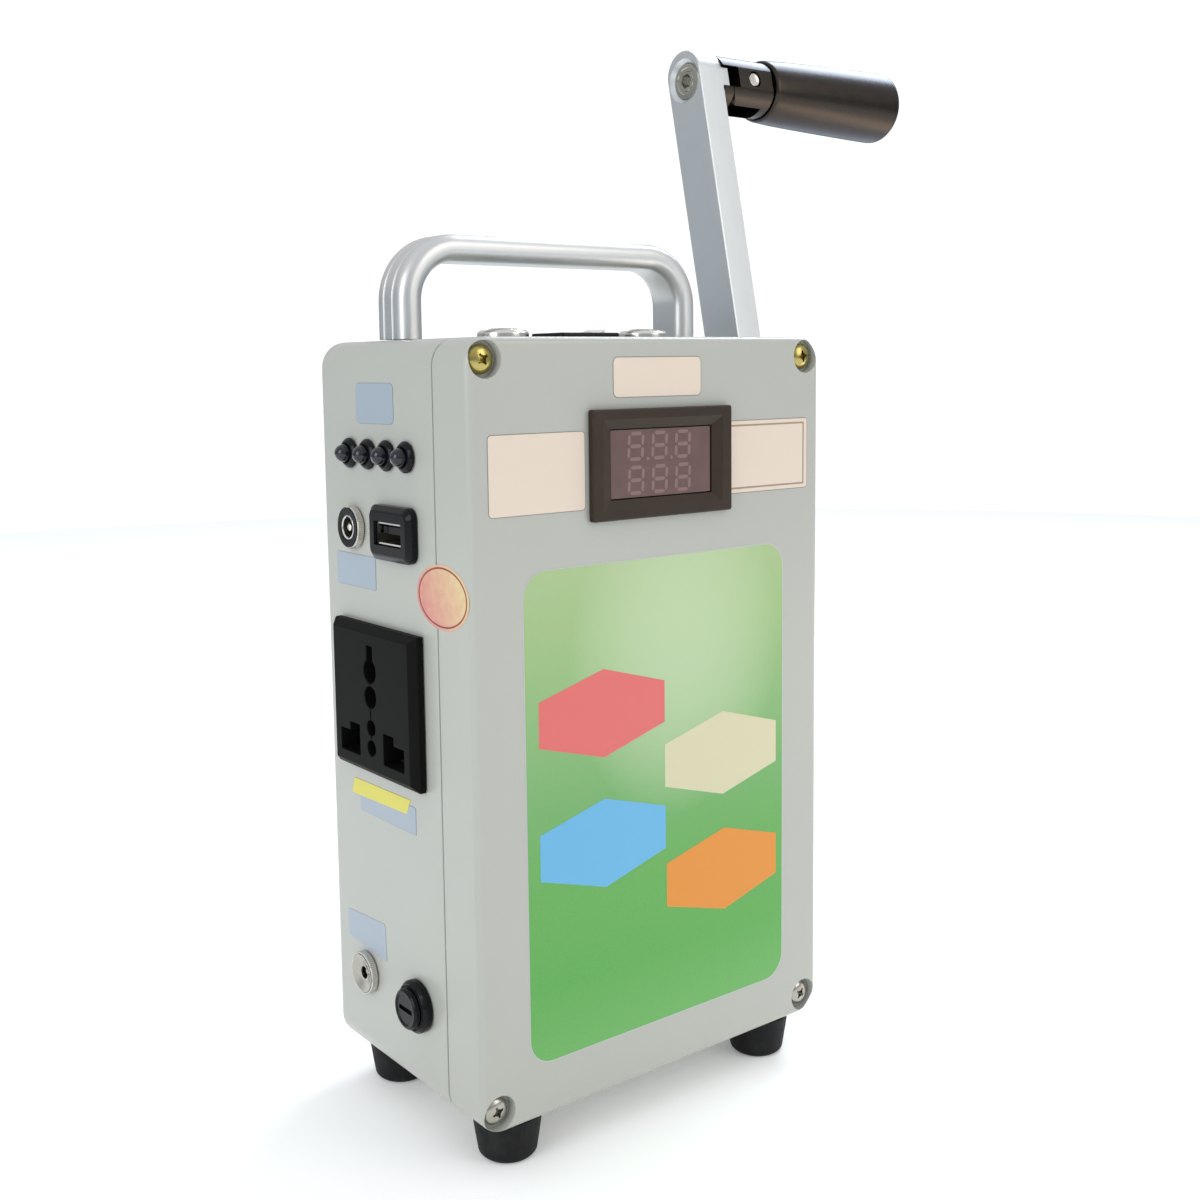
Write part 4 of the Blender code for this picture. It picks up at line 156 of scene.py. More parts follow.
# %% Value and Finish
FINISHES = {}


class Value:
    """A number that changes over a surface, with Python's arithmetic on it."""

    def __init__(self, graph, socket):
        self.graph, self.socket = graph, socket

    def maths(self, operation, first, second):
        return self.graph.add("ShaderNodeMath", {"operation": operation}, {0: first, 1: second})

    def __add__(self, other):
        return self.maths("ADD", self, other)

    def __sub__(self, other):
        return self.maths("SUBTRACT", self, other)

    def __rsub__(self, other):
        return self.maths("SUBTRACT", other, self)

    def __mul__(self, other):
        return self.maths("MULTIPLY", self, other)

    def __truediv__(self, other):
        return self.maths("DIVIDE", self, other)

    __radd__ = __add__

    def clamped(self):
        return self.graph.add("ShaderNodeClamp", {}, {"Value": self}, "Result")


class Graph:
    """The nodes of a material or of the sky, added one by one."""

    def __init__(self, owner, last_node):
        owner.use_nodes = True
        self.tree = owner.node_tree
        self.shader = self.tree.nodes[last_node]

    def fill(self, socket, value):
        if isinstance(value, Value):
            self.tree.links.new(value.socket, socket)
        elif isinstance(value, tuple) and len(value) == 3 and socket.type == "RGBA":
            socket.default_value = (*value, 1)
        else:
            socket.default_value = value

    def set(self, socket, value):
        self.fill(self.shader.inputs[socket], value)

    def add(self, kind, settings=None, inputs=None, output=0):
        node = self.tree.nodes.new(kind)
        for key, value in (settings or {}).items():
            setattr(node, key, value)
        for key, value in (inputs or {}).items():
            self.fill(node.inputs[key], value)
        return Value(self, node.outputs[output])

    def mixed(self, share, first, second):
        return self.add("ShaderNodeMix", {"data_type": "RGBA"}, {0: share, 6: first, 7: second}, 2)

    def ramp(self, value, *stops):
        mapped = self.add("ShaderNodeValToRGB", {}, {"Fac": value}, "Color")
        elements = mapped.socket.node.color_ramp.elements
        while len(elements) < len(stops):
            elements.new(0.5)
        for stop, (share, colour) in zip(elements, stops):
            stop.position, stop.color = share, (*colour, 1)
        return mapped


class Finish(Graph):
    """A material whose shader takes constants and expressions."""

    def __init__(self, name, **sockets):
        self.material = FINISHES[name] = bpy.data.materials.new(name)
        super().__init__(self.material, "Principled BSDF")
        for socket, value in sockets.items():
            self.set(socket.replace("_", " ").title().replace("Ior", "IOR"), value)

    def place(self, stretch=(1, 1, 1), turn=0.0):
        """Where a point is on the object, in metres, turned about X and stretched."""
        spot = self.add("ShaderNodeTexCoord", output="Object")
        if turn:
            turning = {"Vector": spot, "Angle": turn}
            spot = self.add("ShaderNodeVectorRotate", {"rotation_type": "X_AXIS"}, turning)
        if stretch == (1, 1, 1):
            return spot
        return self.add("ShaderNodeVectorMath", {"operation": "MULTIPLY"}, {0: spot, 1: stretch})

    def along(self, axis, origin):
        """A point's distance from an origin along an axis, in millimetres."""
        spot = self.add("ShaderNodeSeparateXYZ", {}, {"Vector": self.place()}, axis)
        return (spot - origin) * 1000

    def noise(self, size, detail, *placing):
        """Soft random spots from 0 to 1. The size is in millimetres."""
        sockets = {"Vector": self.place(*placing), "Scale": 1000 / size, "Detail": detail}
        return self.add("ShaderNodeTexNoise", {}, sockets, "Fac")

    def look(self, colour, roughness, relief, depth):
        """Set what varies over the surface. The relief's depth is in millimetres."""
        sockets = {"Height": relief, "Strength": 1.0, "Distance": depth * MM}
        self.set("Base Color", colour)
        self.set("Roughness", roughness)
        self.set("Normal", self.add("ShaderNodeBump", {}, sockets))


def times(colour, share):
    return tuple(min(1, channel * share) for channel in colour)


def moulded(name, colour, roughness, patch, spread, grain, depth, **sockets):
    """Moulded plastic or rubber: slow patches of tone, a fine grain and an uneven gloss."""
    finish = Finish(name, **sockets)
    patches = finish.noise(patch, 3)
    fine = finish.noise(grain, 2)
    tone = finish.mixed(patches, times(colour, 1 - spread), times(colour, 1 + spread))
    finish.look(tone, roughness - 0.05 + patches * 0.06 + fine * 0.04, fine, depth)


print("shader tools are ready")

# %% [markdown]
# Box plastic
#
# The box is grey moulded plastic with a soft shine, the faint pebble of a textured mould, and duller
# spots where hands have been. Noise of several sizes gives the tone, the gloss and the relief. The
# slow patches between a cooler and a warmer grey are partly random tone and partly painted soft
# reflection on the faces.

# %% Box plastic
case = Finish("case_plastic", coat_weight=0.30, coat_roughness=0.14, specular_ior_level=0.42)
patches = case.noise(55, 3)
pebble = case.noise(0.8, 3)
grain = case.noise(0.22, 1)
smudges = ((case.noise(24, 4) - 0.52) * 3.0).clamped()
# Slow patches: partly random tone, partly painted soft reflection between a cooler and a warmer grey.
tone = case.mixed(patches * 0.7 + pebble * 0.3, (0.402, 0.414, 0.382), (0.448, 0.454, 0.410))
case.look(tone, 0.34 + smudges * 0.10 + grain * 0.05, pebble * 0.7 + grain * 0.3, 0.006)
print("finishes:", *FINISHES)

# %% [markdown]
# Black plastics, rubber and lamp lenses
#
# The socket plate is matt with a spark-eroded grain, the USB and fuse fittings are glossier, the feet
# are dull rubber with upright streaks from the mould, and the lamps are clear resin over a dark cup,
# which looks like black glass.

# %% Black plastics, rubber and lamp lenses
moulded("socket_black", (0.005, 0.005, 0.0045), 0.52, 18, 0.25, 0.25, 0.010, specular_ior_level=0.07)
moulded(
    "gloss_black", (0.004, 0.0045, 0.006), 0.22, 12, 0.2, 0.3, 0.002,
    specular_ior_level=0.12, coat_weight=0.12, coat_roughness=0.07,
)
moulded("bezel_black", (0.030, 0.0185, 0.0105), 0.42, 14, 0.2, 0.3, 0.006, specular_ior_level=0.26)
moulded("meter_black", (0.02, 0.02, 0.02), 0.55, 14, 0.2, 0.4, 0.006)

rubber = Finish("foot_rubber", specular_ior_level=0.2)
streaks = rubber.noise(1.1, 2, (1, 1, 0.12))
dust = ((rubber.noise(6, 4) - 0.5) * 2).clamped()
tone = rubber.mixed(dust, (0.008, 0.008, 0.009), (0.026, 0.026, 0.026))
rubber.look(tone, 0.55 + streaks * 0.2, streaks, 0.06)

LAMP_HEIGHT = CASE_HEIGHT - 29.7
lens = Finish("lamp_lens", coat_weight=0.9, coat_roughness=0.03, specular_ior_level=0.1)
lamp_rise = lens.along("Z", UNDERSIDE.z + LAMP_HEIGHT * MM)
cup = (1 - (lamp_rise * lamp_rise) / 1.6).clamped()
lens.look(lens.mixed(cup, (0.002, 0.003, 0.006), (0.009, 0.011, 0.018)), 0.16, lens.noise(0.9, 1), 0.004)
print("finishes:", len(FINISHES))

# %% [markdown]
# Metals
#
# Bare metal is all reflection, so its look comes from its roughness and from the marks of the tool that
# cut it. Brushed bars have scratches along their length, plated screws have small clouds in the
# plating. One noise, stretched in different ways, makes all of them.

# %% Metals
PLAIN, LONG = (1, 1, 1), 0.04


def metal(name, colour, roughness, stretch=PLAIN, mark=0.5, depth=0.003, turn=0.0, spread=0.05, **sockets):
    """Metal with tool marks along the directions that are stretched."""
    finish = Finish(name, metallic=1.0, **sockets)
    marks = finish.noise(mark, 3, stretch, turn)
    clouds = finish.noise(7, 3)
    tone = finish.mixed(marks * 0.6 + clouds * 0.4, times(colour, 1 - 2 * spread), colour)
    finish.look(tone, roughness - 0.06 + marks * 0.1 + clouds * 0.06, marks, depth)


metal("handle_aluminium", (0.66, 0.665, 0.665), 0.38, PLAIN, 0.35, 0.0035)
metal("arm_aluminium", (0.635, 0.66, 0.675), 0.38, (1, 1, LONG), 0.35, 0.003, math.radians(ARM_TILT))
metal("plate_aluminium", (0.74, 0.75, 0.76), 0.36, (1, 1, LONG))
metal(
    "black_anodised", (0.060, 0.050, 0.042), 0.27, (LONG * 2, 1, 1), 0.5, 0.0012, spread=0.18,
    specular_tint=(0.80, 0.84, 0.92),
)
metal("steel", (0.66, 0.645, 0.61), 0.24, PLAIN, 0.6, 0.003)
metal("nickel", (0.74, 0.71, 0.66), 0.20, PLAIN, 0.9, 0.002)
metal("old_nickel", (0.46, 0.44, 0.385), 0.24, PLAIN, 0.9, 0.003, spread=0.12)
metal("zinc_yellow", (0.56, 0.46, 0.155), 0.22, PLAIN, 1.4, 0.004, spread=0.22)
metal("brass", (0.76, 0.58, 0.27), 0.30, (8, 1, 1), 1.2, 0.003)
metal("contact_brass", (0.80, 0.64, 0.36), 0.25, PLAIN, 0.7, 0.002)
print("finishes:", len(FINISHES))

# %% [markdown]
# Printed labels
#
# The labels are printed film, slightly glossy and never quite flat. A fine paper noise, a slow ripple
# in the relief and a coat make them read as stickers instead of paint. All are left bare.

# %% Printed labels
def printed(name, colour, roughness=0.36, spread=0.03, coat=0.3):
    """Printed film over plastic."""
    finish = Finish(name, coat_weight=coat, coat_roughness=0.18)
    fibre = finish.noise(0.5, 3)
    ripple = finish.noise(9, 2)
    tone = finish.mixed(fibre * 0.6 + ripple * 0.4, times(colour, 1 - spread), colour)
    finish.look(tone, roughness + fibre * 0.08, ripple * 0.85 + fibre * 0.15, 0.02)


printed("tape_yellow", (0.66, 0.60, 0.075), 0.42, 0.06)
# The two dark label rim tones paint the shadow round the labels' edges; the others are print colours.
for name, colour in (
    ("label_cream", (0.715, 0.605, 0.504)),
    ("label_edge", (0.25, 0.23, 0.20)),
    ("label_line", (0.34, 0.25, 0.18)),
    ("label_blue", (0.33, 0.39, 0.455)),
    ("label_blue_edge", (0.22, 0.26, 0.31)),
    ("panel_edge", (0.50, 0.49, 0.53)),
    ("print_red", (0.665, 0.119, 0.113)),
    ("print_cream", (0.605, 0.570, 0.374)),
    ("print_blue", (0.102, 0.400, 0.668)),
    ("print_orange", (0.68, 0.234, 0.002)),
    ("seal_ring", (0.24, 0.022, 0.018)),
):
    printed(name, colour)
print("finishes:", len(FINISHES))

# %% [markdown]
# Green panel
#
# The big label shades from pale green at its top to a strong green below. Height on the box drives a
# colour ramp, whose stops are plain shares of the panel's height, and a soft round glow lightens the
# upper middle.

# %% Green panel
PANEL_LOW, PANEL_HIGH = 14.5, 142.3
panel = Finish("panel_green", coat_weight=0.20, coat_roughness=0.16, specular_ior_level=0.35)
share = (panel.along("Z", UNDERSIDE.z) - PANEL_LOW) / (PANEL_HIGH - PANEL_LOW)
across = panel.along("X", UNDERSIDE.x) / (0.45 * CASE_WIDTH)
greens = panel.ramp(
    share,
    (0.00, (0.110, 0.385, 0.080)),
    (0.15, (0.070, 0.345, 0.045)),
    (0.35, (0.088, 0.350, 0.055)),
    (0.52, (0.130, 0.365, 0.100)),
    (0.70, (0.215, 0.415, 0.145)),
    (0.86, (0.290, 0.460, 0.180)),
    (1.00, (0.345, 0.480, 0.225)),
)
off_middle = across - 0.12
off_height = (share - 0.80) * 2.2
reach = off_middle * off_middle * 1.3 + off_height * off_height
glow = (1 - reach * 1.6).clamped() * 0.55
ripple = panel.noise(26, 2)
fibre = panel.noise(0.5, 2)
lit = panel.mixed(glow, greens, (0.56, 0.66, 0.45))
tone = panel.mixed(fibre * 0.08, lit, (0.60, 0.66, 0.55))
panel.look(tone, 0.30 + fibre * 0.08, ripple * 0.9 + fibre * 0.1, 0.03)
print("finishes:", len(FINISHES))

# %% [markdown]
# Meter window, inspection seal and plastics inside
#
# The meter's window is smoked acrylic over a mauve display. The oval seal is pinkish foil that shades
# to yellow. The pieces inside the box are seen only when it is opened, yet they get plain finishes
# of their own: white nylon gears, shrink sleeve, board.

# %% Meter window, inspection seal and plastics inside
window = Finish("display_window", coat_weight=0.7, coat_roughness=0.06)
haze = window.noise(5, 3)
weave = window.noise(0.35, 2)
tone = window.mixed(haze * 0.75 + weave * 0.25, (0.085, 0.042, 0.038), (0.148, 0.076, 0.068))
window.look(tone, 0.30, haze, 0.004)
printed("display_segment", (0.210, 0.122, 0.114), 0.4, 0.08, 0.4)

seal = Finish("seal_foil", coat_weight=0.5, coat_roughness=0.12)
slope = (seal.along("Y", UNDERSIDE.y) + 24.5) / -24 + (seal.along("Z", UNDERSIDE.z) - 136.2) / 40
foil = seal.noise(2.2, 3)
foil_colours = ((0.0, (0.66, 0.50, 0.24)), (0.5, (0.62, 0.34, 0.21)), (1.0, (0.58, 0.20, 0.165)))
tone = seal.ramp(0.5 - slope + (foil - 0.5) * 0.7, *foil_colours)
seal.look(tone, 0.24 + foil * 0.12, foil, 0.004)
moulded("white_plastic", (0.80, 0.80, 0.76), 0.34, 12, 0.03, 0.4, 0.003, coat_weight=0.2)
moulded("gear_nylon", (0.80, 0.78, 0.70), 0.45, 10, 0.05, 0.6, 0.008)
moulded("cell_sleeve", (0.08, 0.22, 0.50), 0.30, 16, 0.12, 2.0, 0.02, coat_weight=0.4)
moulded("fuse_glass", (0.70, 0.76, 0.77), 0.10, 6, 0.10, 1.5, 0.002, coat_weight=1.0)
board = Finish("circuit_board", coat_weight=0.5, coat_roughness=0.15)
tracks = ((board.noise(2.4, 1, (1, 1, 0.25)) - 0.53) * 30).clamped()
tone = board.mixed(tracks, (0.015, 0.105, 0.045), (0.035, 0.200, 0.080))
board.look(tone, 0.34 + tracks * 0.1, tracks, 0.03)
print("finishes:", len(FINISHES))

# %% [markdown]
# Shape tools
#
# Nearly every fitting is a turned form or a slab cut to an outline. The lathe turns a profile of (out,
# radius) pairs about the local Z axis. The slab gives an outline thickness and rounds its front rim.
# Real edges are never sharp: the small round catches a line of light, which makes a part look made.

# %% Outlines
def arc(middle, radius, start, end, steps):
    """Points on an arc, angles in degrees, both ends included."""
    points = []
    for index in range(steps + 1):
        angle = math.radians(start + (end - start) * index / steps)
        points.append((middle[0] + radius * math.cos(angle), middle[1] + radius * math.sin(angle)))
    return points


def circle(radius, sides=64, middle=(0, 0)):
    return arc(middle, radius, 0, 360 * (sides - 1) / sides, sides - 1)


def rectangle(width, height, radius=0.0, middle=(0, 0), steps=6):
    u, v = width / 2 - radius, height / 2 - radius
    points = []
    for side_u, side_v, start in ((1, 1, 0), (-1, 1, 90), (-1, -1, 180), (1, -1, 270)):
        corner = (middle[0] + side_u * u, middle[1] + side_v * v)
        points += arc(corner, radius, start, start + 90, steps) if radius else [corner]
    return points


def softened(points, radius, steps=3, closed=False):
    """The same line with its corners rounded by short curves."""
    count = len(points)
    out = []
    for index, point in enumerate(points):
        here = Vector(point)
        before, after = Vector(points[index - 1]) - here, Vector(points[(index + 1) % count]) - here
        is_end = not closed and index in (0, count - 1)
        tiny = before.length < 1e-6 or after.length < 1e-6
        if is_end or tiny or before.angle(after) > math.radians(172):
            out.append(tuple(point))
            continue
        start = here + before.normalized() * min(radius, before.length * 0.45)
        end = here + after.normalized() * min(radius, after.length * 0.45)
        for step in range(steps + 1):
            share = step / steps
            spot = start * (1 - share) ** 2 + here * 2 * share * (1 - share) + end * share ** 2
            out.append(tuple(spot))
    return out


print("outline tools are ready")

# %% Solids
def solid(name, bm):
    """A loose object from a bmesh, in its local frame."""
    mesh = bpy.data.meshes.new(name)
    bmesh.ops.recalc_face_normals(bm, faces=bm.faces)
    bm.to_mesh(mesh)
    bm.free()
    obj = bpy.data.objects.new(name, mesh)
    bpy.context.scene.collection.objects.link(obj)
    return obj


def settle(obj):
    """Work the modifiers into the mesh."""
    graph = bpy.context.evaluated_depsgraph_get()
    mesh = bpy.data.meshes.new_from_object(obj.evaluated_get(graph))
    obj.modifiers.clear()
    old, obj.data = obj.data, mesh
    bpy.data.meshes.remove(old)


def combine(target, tool, operation):
    """Work a tool, which is an object or a bmesh, into the target."""
    if isinstance(tool, bmesh.types.BMesh):
        tool = solid("tool", tool)
    modifier = target.modifiers.new("combine", "BOOLEAN")
    modifier.operation, modifier.object, modifier.solver = operation, tool, "EXACT"
    settle(target)
    bpy.data.objects.remove(tool)
    return target


def melted(obj):
    """The bmesh of a loose object, which is taken away."""
    bm = bmesh.new()
    bm.from_mesh(obj.data)
    bpy.data.objects.remove(obj)
    return bm


def cut(target, *tools):
    for tool in tools:
        combine(target, tool, "DIFFERENCE")
    return target


def weld(target, tool):
    return combine(target, tool, "UNION")


def bevel_where(bm, chosen, width, steps):
    edges = [edge for edge in bm.edges if chosen(edge)]
    bmesh.ops.bevel(bm, geom=edges, offset=width, segments=steps, profile=0.5, affect="EDGES")
    return bm


def at_level(axis, value):
    index = "XYZ".index(axis)
    return lambda edge: all(abs(vert.co[index] - value) < 1e-4 for vert in edge.verts)


def block(low, high):
    bm = bmesh.new()
    size, middle = Vector(high) - Vector(low), (Vector(high) + Vector(low)) / 2
    bmesh.ops.create_cube(bm, size=1, matrix=Matrix.Translation(middle) @ Matrix.Diagonal((*size, 1)))
    return bm


def skin(bm, rings):
    """Four-sided faces between each ring of points and the next."""
    for base, top in zip(rings, rings[1:]):
        for index in range(len(base)):
            after = (index + 1) % len(base)
            bm.faces.new((base[index], base[after], top[after], top[index]))


def stack(*levels):
    """Outlines with equal numbers of points, each at its level, as one solid."""
    bm = bmesh.new()
    rings = [[bm.verts.new((u, v, level)) for u, v in outline] for outline, level in levels]
    bm.faces.new(reversed(rings[0]))
    bm.faces.new(rings[-1])
    skin(bm, rings)
    return bm


def slab(outline, low, high, rim=0.0, steps=3, foot_rim=0.0):
    """An outline with thickness. The rim rounds its front edge."""
    bm = stack((outline, low), (outline, high))
    for level, width in ((high, rim), (low, foot_rim)):
        if width:
            bevel_where(bm, at_level("Z", level), width, steps)
    return bm


def lathe(profile, sides=64, round_by=0.0, knurl=None):
    """Turn (out, radius) pairs about Z. A knurl pulls every second point of a band inwards."""
    line = softened(profile, round_by) if round_by else profile
    bm = bmesh.new()
    rings = []
    for out, radius in line:
        if radius < 1e-6:
            rings.append([bm.verts.new((0, 0, out))])
            continue
        ring = []
        for index in range(sides):
            angle = 2 * math.pi * index / sides
            reach = radius
            if knurl and index % 2 and knurl[0] <= out <= knurl[1] and radius >= knurl[2]:
                reach -= knurl[3]
            ring.append(bm.verts.new((reach * math.cos(angle), reach * math.sin(angle), out)))
        rings.append(ring)
    if profile[0][1] > 0:
        rings.append(rings[0])
    for first, second in zip(rings, rings[1:]):
        for index in range(sides):
            after = (index + 1) % sides
            around = (first, index), (second, index), (second, after), (first, after)
            face = tuple(dict.fromkeys(ring[side % len(ring)] for ring, side in around))
            if len(face) > 2:
                bm.faces.new(face)
    return bm


def rod(radius, low, high, middle=(0, 0), sides=48):
    return slab(circle(radius, sides, middle), low, high)


def shifted(bm, u=0.0, v=0.0):
    bmesh.ops.translate(bm, vec=(u, v, 0), verts=bm.verts)
    return bm


def laid(bm, matrix):
    bmesh.ops.transform(bm, matrix=matrix, verts=bm.verts)
    return bm


def joined(*parts):
    """Several bmeshes as one."""
    whole = bmesh.new()
    for part in parts:
        mesh = bpy.data.meshes.new("part")
        part.to_mesh(mesh)
        part.free()
        whole.from_mesh(mesh)
        bpy.data.meshes.remove(mesh)
    return whole


print("solid tools are ready")

# %% Putting a piece in its place
BODY_OF = {
    node: body
    for body, members in frame["record"]["behaviour"]["bodies"].items()
    for node in members
}


def put(obj, place, finish, node="", slot=None, body=None, crease=38):
    """Finish a piece, put it on the part, and let it stand for its CAD node, if it has one."""
    obj.data.shade_smooth()
    obj.data.set_sharp_from_angle(angle=math.radians(crease))
    weighted = obj.modifiers.new("even shading", "WEIGHTED_NORMAL")
    weighted.keep_sharp = True
    settle(obj)
    obj.data.transform(place)
    obj.data.materials.clear()
    obj.data.materials.append(FINISHES[finish])
    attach(obj, body or BODY_OF.get(node, "box"))
    if node:
        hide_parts(node)
    spots = [vert.co for vert in obj.data.vertices]
    size = [max(axis) - min(axis) for axis in zip(*spots)]
    print(obj.name, len(obj.data.polygons), "faces", [round(side / MM, 1) for side in size], "mm")


def piece(name, bm, *where, **more):
    put(solid(name, bm), *where, **more)


# %% [markdown]
# Housing and lid
#
# Both halves start as one block with rounded corners. The rear edge of the housing and the front edge
# of the lid get their own rounds, and a small chamfer on each half draws the dark line of the seam.
# They are hollowed and cut like the CAD solids, with more steps round curves.

# %% Housing and lid
CASE_WALL, CORNER_RADIUS = 3, 7
SEAM_Y = 15.8 - HALF_DEPTH
SCREW_INSET = 5.4
SCREW_X = HALF_WIDTH - SCREW_INSET
SCREW_PLACES = {
    "low_left": (-SCREW_X, SCREW_INSET),
    "low_right": (SCREW_X, SCREW_INSET),
    "high_left": (-SCREW_X, CASE_HEIGHT - SCREW_INSET),
    "high_right": (SCREW_X, CASE_HEIGHT - SCREW_INSET),
}
FOOT_X, FOOT_Y = HALF_WIDTH - 14.5, HALF_DEPTH - 10.5
FUSE_Y, LOW_ROW = -8.45, 25.4
USB_Y, OUTLET_HEIGHT = -3.1, CASE_HEIGHT - 49.65
SOCKET_Y, SOCKET_HEIGHT = 6.4, 104.8
USB_BACK, SOCKET_BACK = (17.6, 11.4), (37, 35)
JACK_PLACES = {"dc_out": (19.15, OUTLET_HEIGHT), "charge": (18.9, LOW_ROW)}
LAMP_YS = [5.4 + 9.73 * (index - 1.5) for index in range(4)]
HANDLE_LEG_X, HANDLE_Y = 48.35, 12.2
HANDLE_BORE, PEG_BORE, SCREW_BORE = 2.3, 2.5, 2.0
HOLDER_RADIUS, JACK_RADIUS, FUSE_RADIUS, BUTTON_RADIUS, BUSH_RADIUS = 3.2, 4.6, 5.8, 5.6, 8.2
BUTTON_X = 24.6
BEHIND = 2
SIDES = (-1, 1)


def case_block(front, rear, shrink, steps=10):
    bm = block((shrink - HALF_WIDTH, front, shrink), (HALF_WIDTH - shrink, rear, CASE_HEIGHT - shrink))
    upright = lambda edge: abs((edge.verts[1].co - edge.verts[0].co).y) > 0.999 * edge.calc_length()
    return bevel_where(bm, upright, CORNER_RADIUS - shrink, steps)


def bar_y(radius, low, high, x=0, height=0, sides=32):
    return laid(rod(radius, low, high, (x, -height), sides), ALONG_Y)


def bar_x(radius, low, high, y=0, height=0, sides=32):
    return laid(rod(radius, low, high, (y, height), sides), ALONG_X)


def room(front, rear, post_radius, post_front, post_rear):
    posts = [bar_y(post_radius, post_front, post_rear, *place) for place in SCREW_PLACES.values()]
    return cut(solid("room", case_block(front, rear, CASE_WALL, 6)), joined(*posts))


front = SEAM_Y + GAP / 2
bm = case_block(front, HALF_DEPTH, 0)
bevel_where(bm, at_level("Y", HALF_DEPTH), 3, 6)
bevel_where(bm, at_level("Y", front), 0.4, 2)
housing = solid("housing_shell", bm)
cut(housing, room(front - BEHIND, HALF_DEPTH - CASE_WALL, 4.6, front - 2 * BEHIND, front + 22))
LEFT_OUT, LEFT_IN = -HALF_WIDTH - BEHIND, -HALF_WIDTH + CASE_WALL + BEHIND
holes = [bar_x(HOLDER_RADIUS + GAP, LEFT_OUT, LEFT_IN, y, LAMP_HEIGHT) for y in LAMP_YS]
holes += [bar_x(JACK_RADIUS + GAP, LEFT_OUT, LEFT_IN, *place) for place in JACK_PLACES.values()]
holes.append(bar_x(FUSE_RADIUS + GAP, LEFT_OUT, LEFT_IN, FUSE_Y, LOW_ROW))
openings = (USB_Y, OUTLET_HEIGHT, USB_BACK), (SOCKET_Y, SOCKET_HEIGHT, SOCKET_BACK)
for y, height, (width, tall) in openings:
    holes.append(block(
        (LEFT_OUT, y - width / 2 - GAP, height - tall / 2 - GAP),
        (LEFT_IN, y + width / 2 + GAP, height + tall / 2 + GAP),
    ))
holes.append(bar_x(BUSH_RADIUS + GAP, HALF_WIDTH - 5, HALF_WIDTH + BEHIND, 0, SHAFT_HEIGHT, 48))
TOP_LOW, TOP_HIGH = CASE_HEIGHT - 5, CASE_HEIGHT + BEHIND
for side in SIDES:
    holes.append(rod(HANDLE_BORE, TOP_LOW, TOP_HIGH, (side * HANDLE_LEG_X, HANDLE_Y), 24))
    holes.append(rod(BUTTON_RADIUS + GAP, TOP_LOW, TOP_HIGH, (side * BUTTON_X, SWITCH_Y), 40))
    holes.append(rod(PEG_BORE, -BEHIND, 5, (side * FOOT_X, FOOT_Y), 24))
holes.append(block((-9.6, SWITCH_Y - 6.5, TOP_LOW), (9.6, SWITCH_Y + 6.5, TOP_HIGH)))
holes += [bar_y(SCREW_BORE, front - BEHIND, front + 12, *place, 24) for place in SCREW_PLACES.values()]
cut(housing, joined(*holes))
put(housing, BOX, "case_plastic", "housing")

# %% Lid with its screw recesses and meter opening
METER_HEIGHT = CASE_HEIGHT - 32.6
rear = SEAM_Y - GAP / 2
bm = case_block(-HALF_DEPTH, rear, 0)
bevel_where(bm, at_level("Y", -HALF_DEPTH), 1.8, 5)
bevel_where(bm, at_level("Y", rear), 0.4, 2)
lid = solid("lid_shell", bm)
cut(lid, room(CASE_WALL - HALF_DEPTH, rear + BEHIND, 5.9, -HALF_DEPTH, rear + 2 * BEHIND))
recess = [(2, 0), (2, 6.4), (0, 4.95), (-0.12, 4.72), (-0.4, 4.6), (-3.2, 4.6), (-3.2, 0)]
cut(lid, joined(*(
    laid(lathe(recess, 48), Matrix.Translation((x, -HALF_DEPTH, height)) @ FRONT_AXES)
    for x, height in SCREW_PLACES.values()
)))
holes = [bar_y(SCREW_BORE, -HALF_DEPTH, rear + BEHIND, *place, 24) for place in SCREW_PLACES.values()]
meter_x, meter_z = 22.5, 12.8
holes.append(block(
    (-meter_x, -HALF_DEPTH - 2, METER_HEIGHT - meter_z),
    (meter_x, -HALF_DEPTH + 5, METER_HEIGHT + meter_z),
))
holes += [rod(PEG_BORE, -BEHIND, 5, (side * FOOT_X, -FOOT_Y), 24) for side in SIDES]
cut(lid, joined(*holes))


def gasket_ring(inset, depth):
    size = (CASE_WIDTH - 2 * inset, CASE_HEIGHT - 2 * inset)
    outline = rectangle(*size, CORNER_RADIUS - inset, (0, -CASE_HEIGHT / 2))
    return laid(slab(outline, rear - depth, rear + depth), ALONG_Y)


cut(lid, cut(solid("groove", gasket_ring(0.75, 1.6)), gasket_ring(2.25, 3)))
put(lid, BOX, "case_plastic", "lid")

# %% [markdown]
# Lid screws
#
# Four pan-head screws sit deep in the corners. The top two are zinc plated and passivated yellow, the
# lower two are dull nickel. The cross is cut as a real recess, and each screw stopped at its own
# angle.

# %% Lid screws
def cross_outline(angle):
    half_width, half_length, heart = 0.45, 2.2, 0.9
    root = half_width + heart
    arm = [(heart, heart), (half_width, root), (half_width, half_length)]
    arm += [(-half_width, half_length), (-half_width, root)]
    outline = []
    for quarter in range(4):
        turn = math.radians(90 * quarter + angle)
        cos, sin = math.cos(turn), math.sin(turn)
        outline += [(u * cos - v * sin, u * sin + v * cos) for u, v in arm]
    return outline


SCREW_LOOKS = {
    "low_left": (20, "old_nickel"),
    "low_right": (55, "old_nickel"),
    "high_left": (35, "zinc_yellow"),
    "high_right": (10, "zinc_yellow"),
}
pan_head = [
    (-1.0, 0), (-1.05, 1.3), (-1.25, 2.3), (-1.65, 3.15), (-2.2, 3.6), (-3.05, 3.6),
    (-3.05, 1.7), (-25.8, 1.7), (-25.8, 0),
]
CROSS_FOOT, CROSS_TAPER = -2.4, 0.55
for where, (angle, finish) in SCREW_LOOKS.items():
    screw = solid("screw_" + where, lathe(pan_head, 40))
    cross = slab(cross_outline(angle), CROSS_FOOT, 1)
    for vert in cross.verts:
        if vert.co.z < 0:
            vert.co.xy *= CROSS_TAPER
    cut(screw, cross)
    put(screw, on_front(*SCREW_PLACES[where]), finish, "lid_screw_" + where)

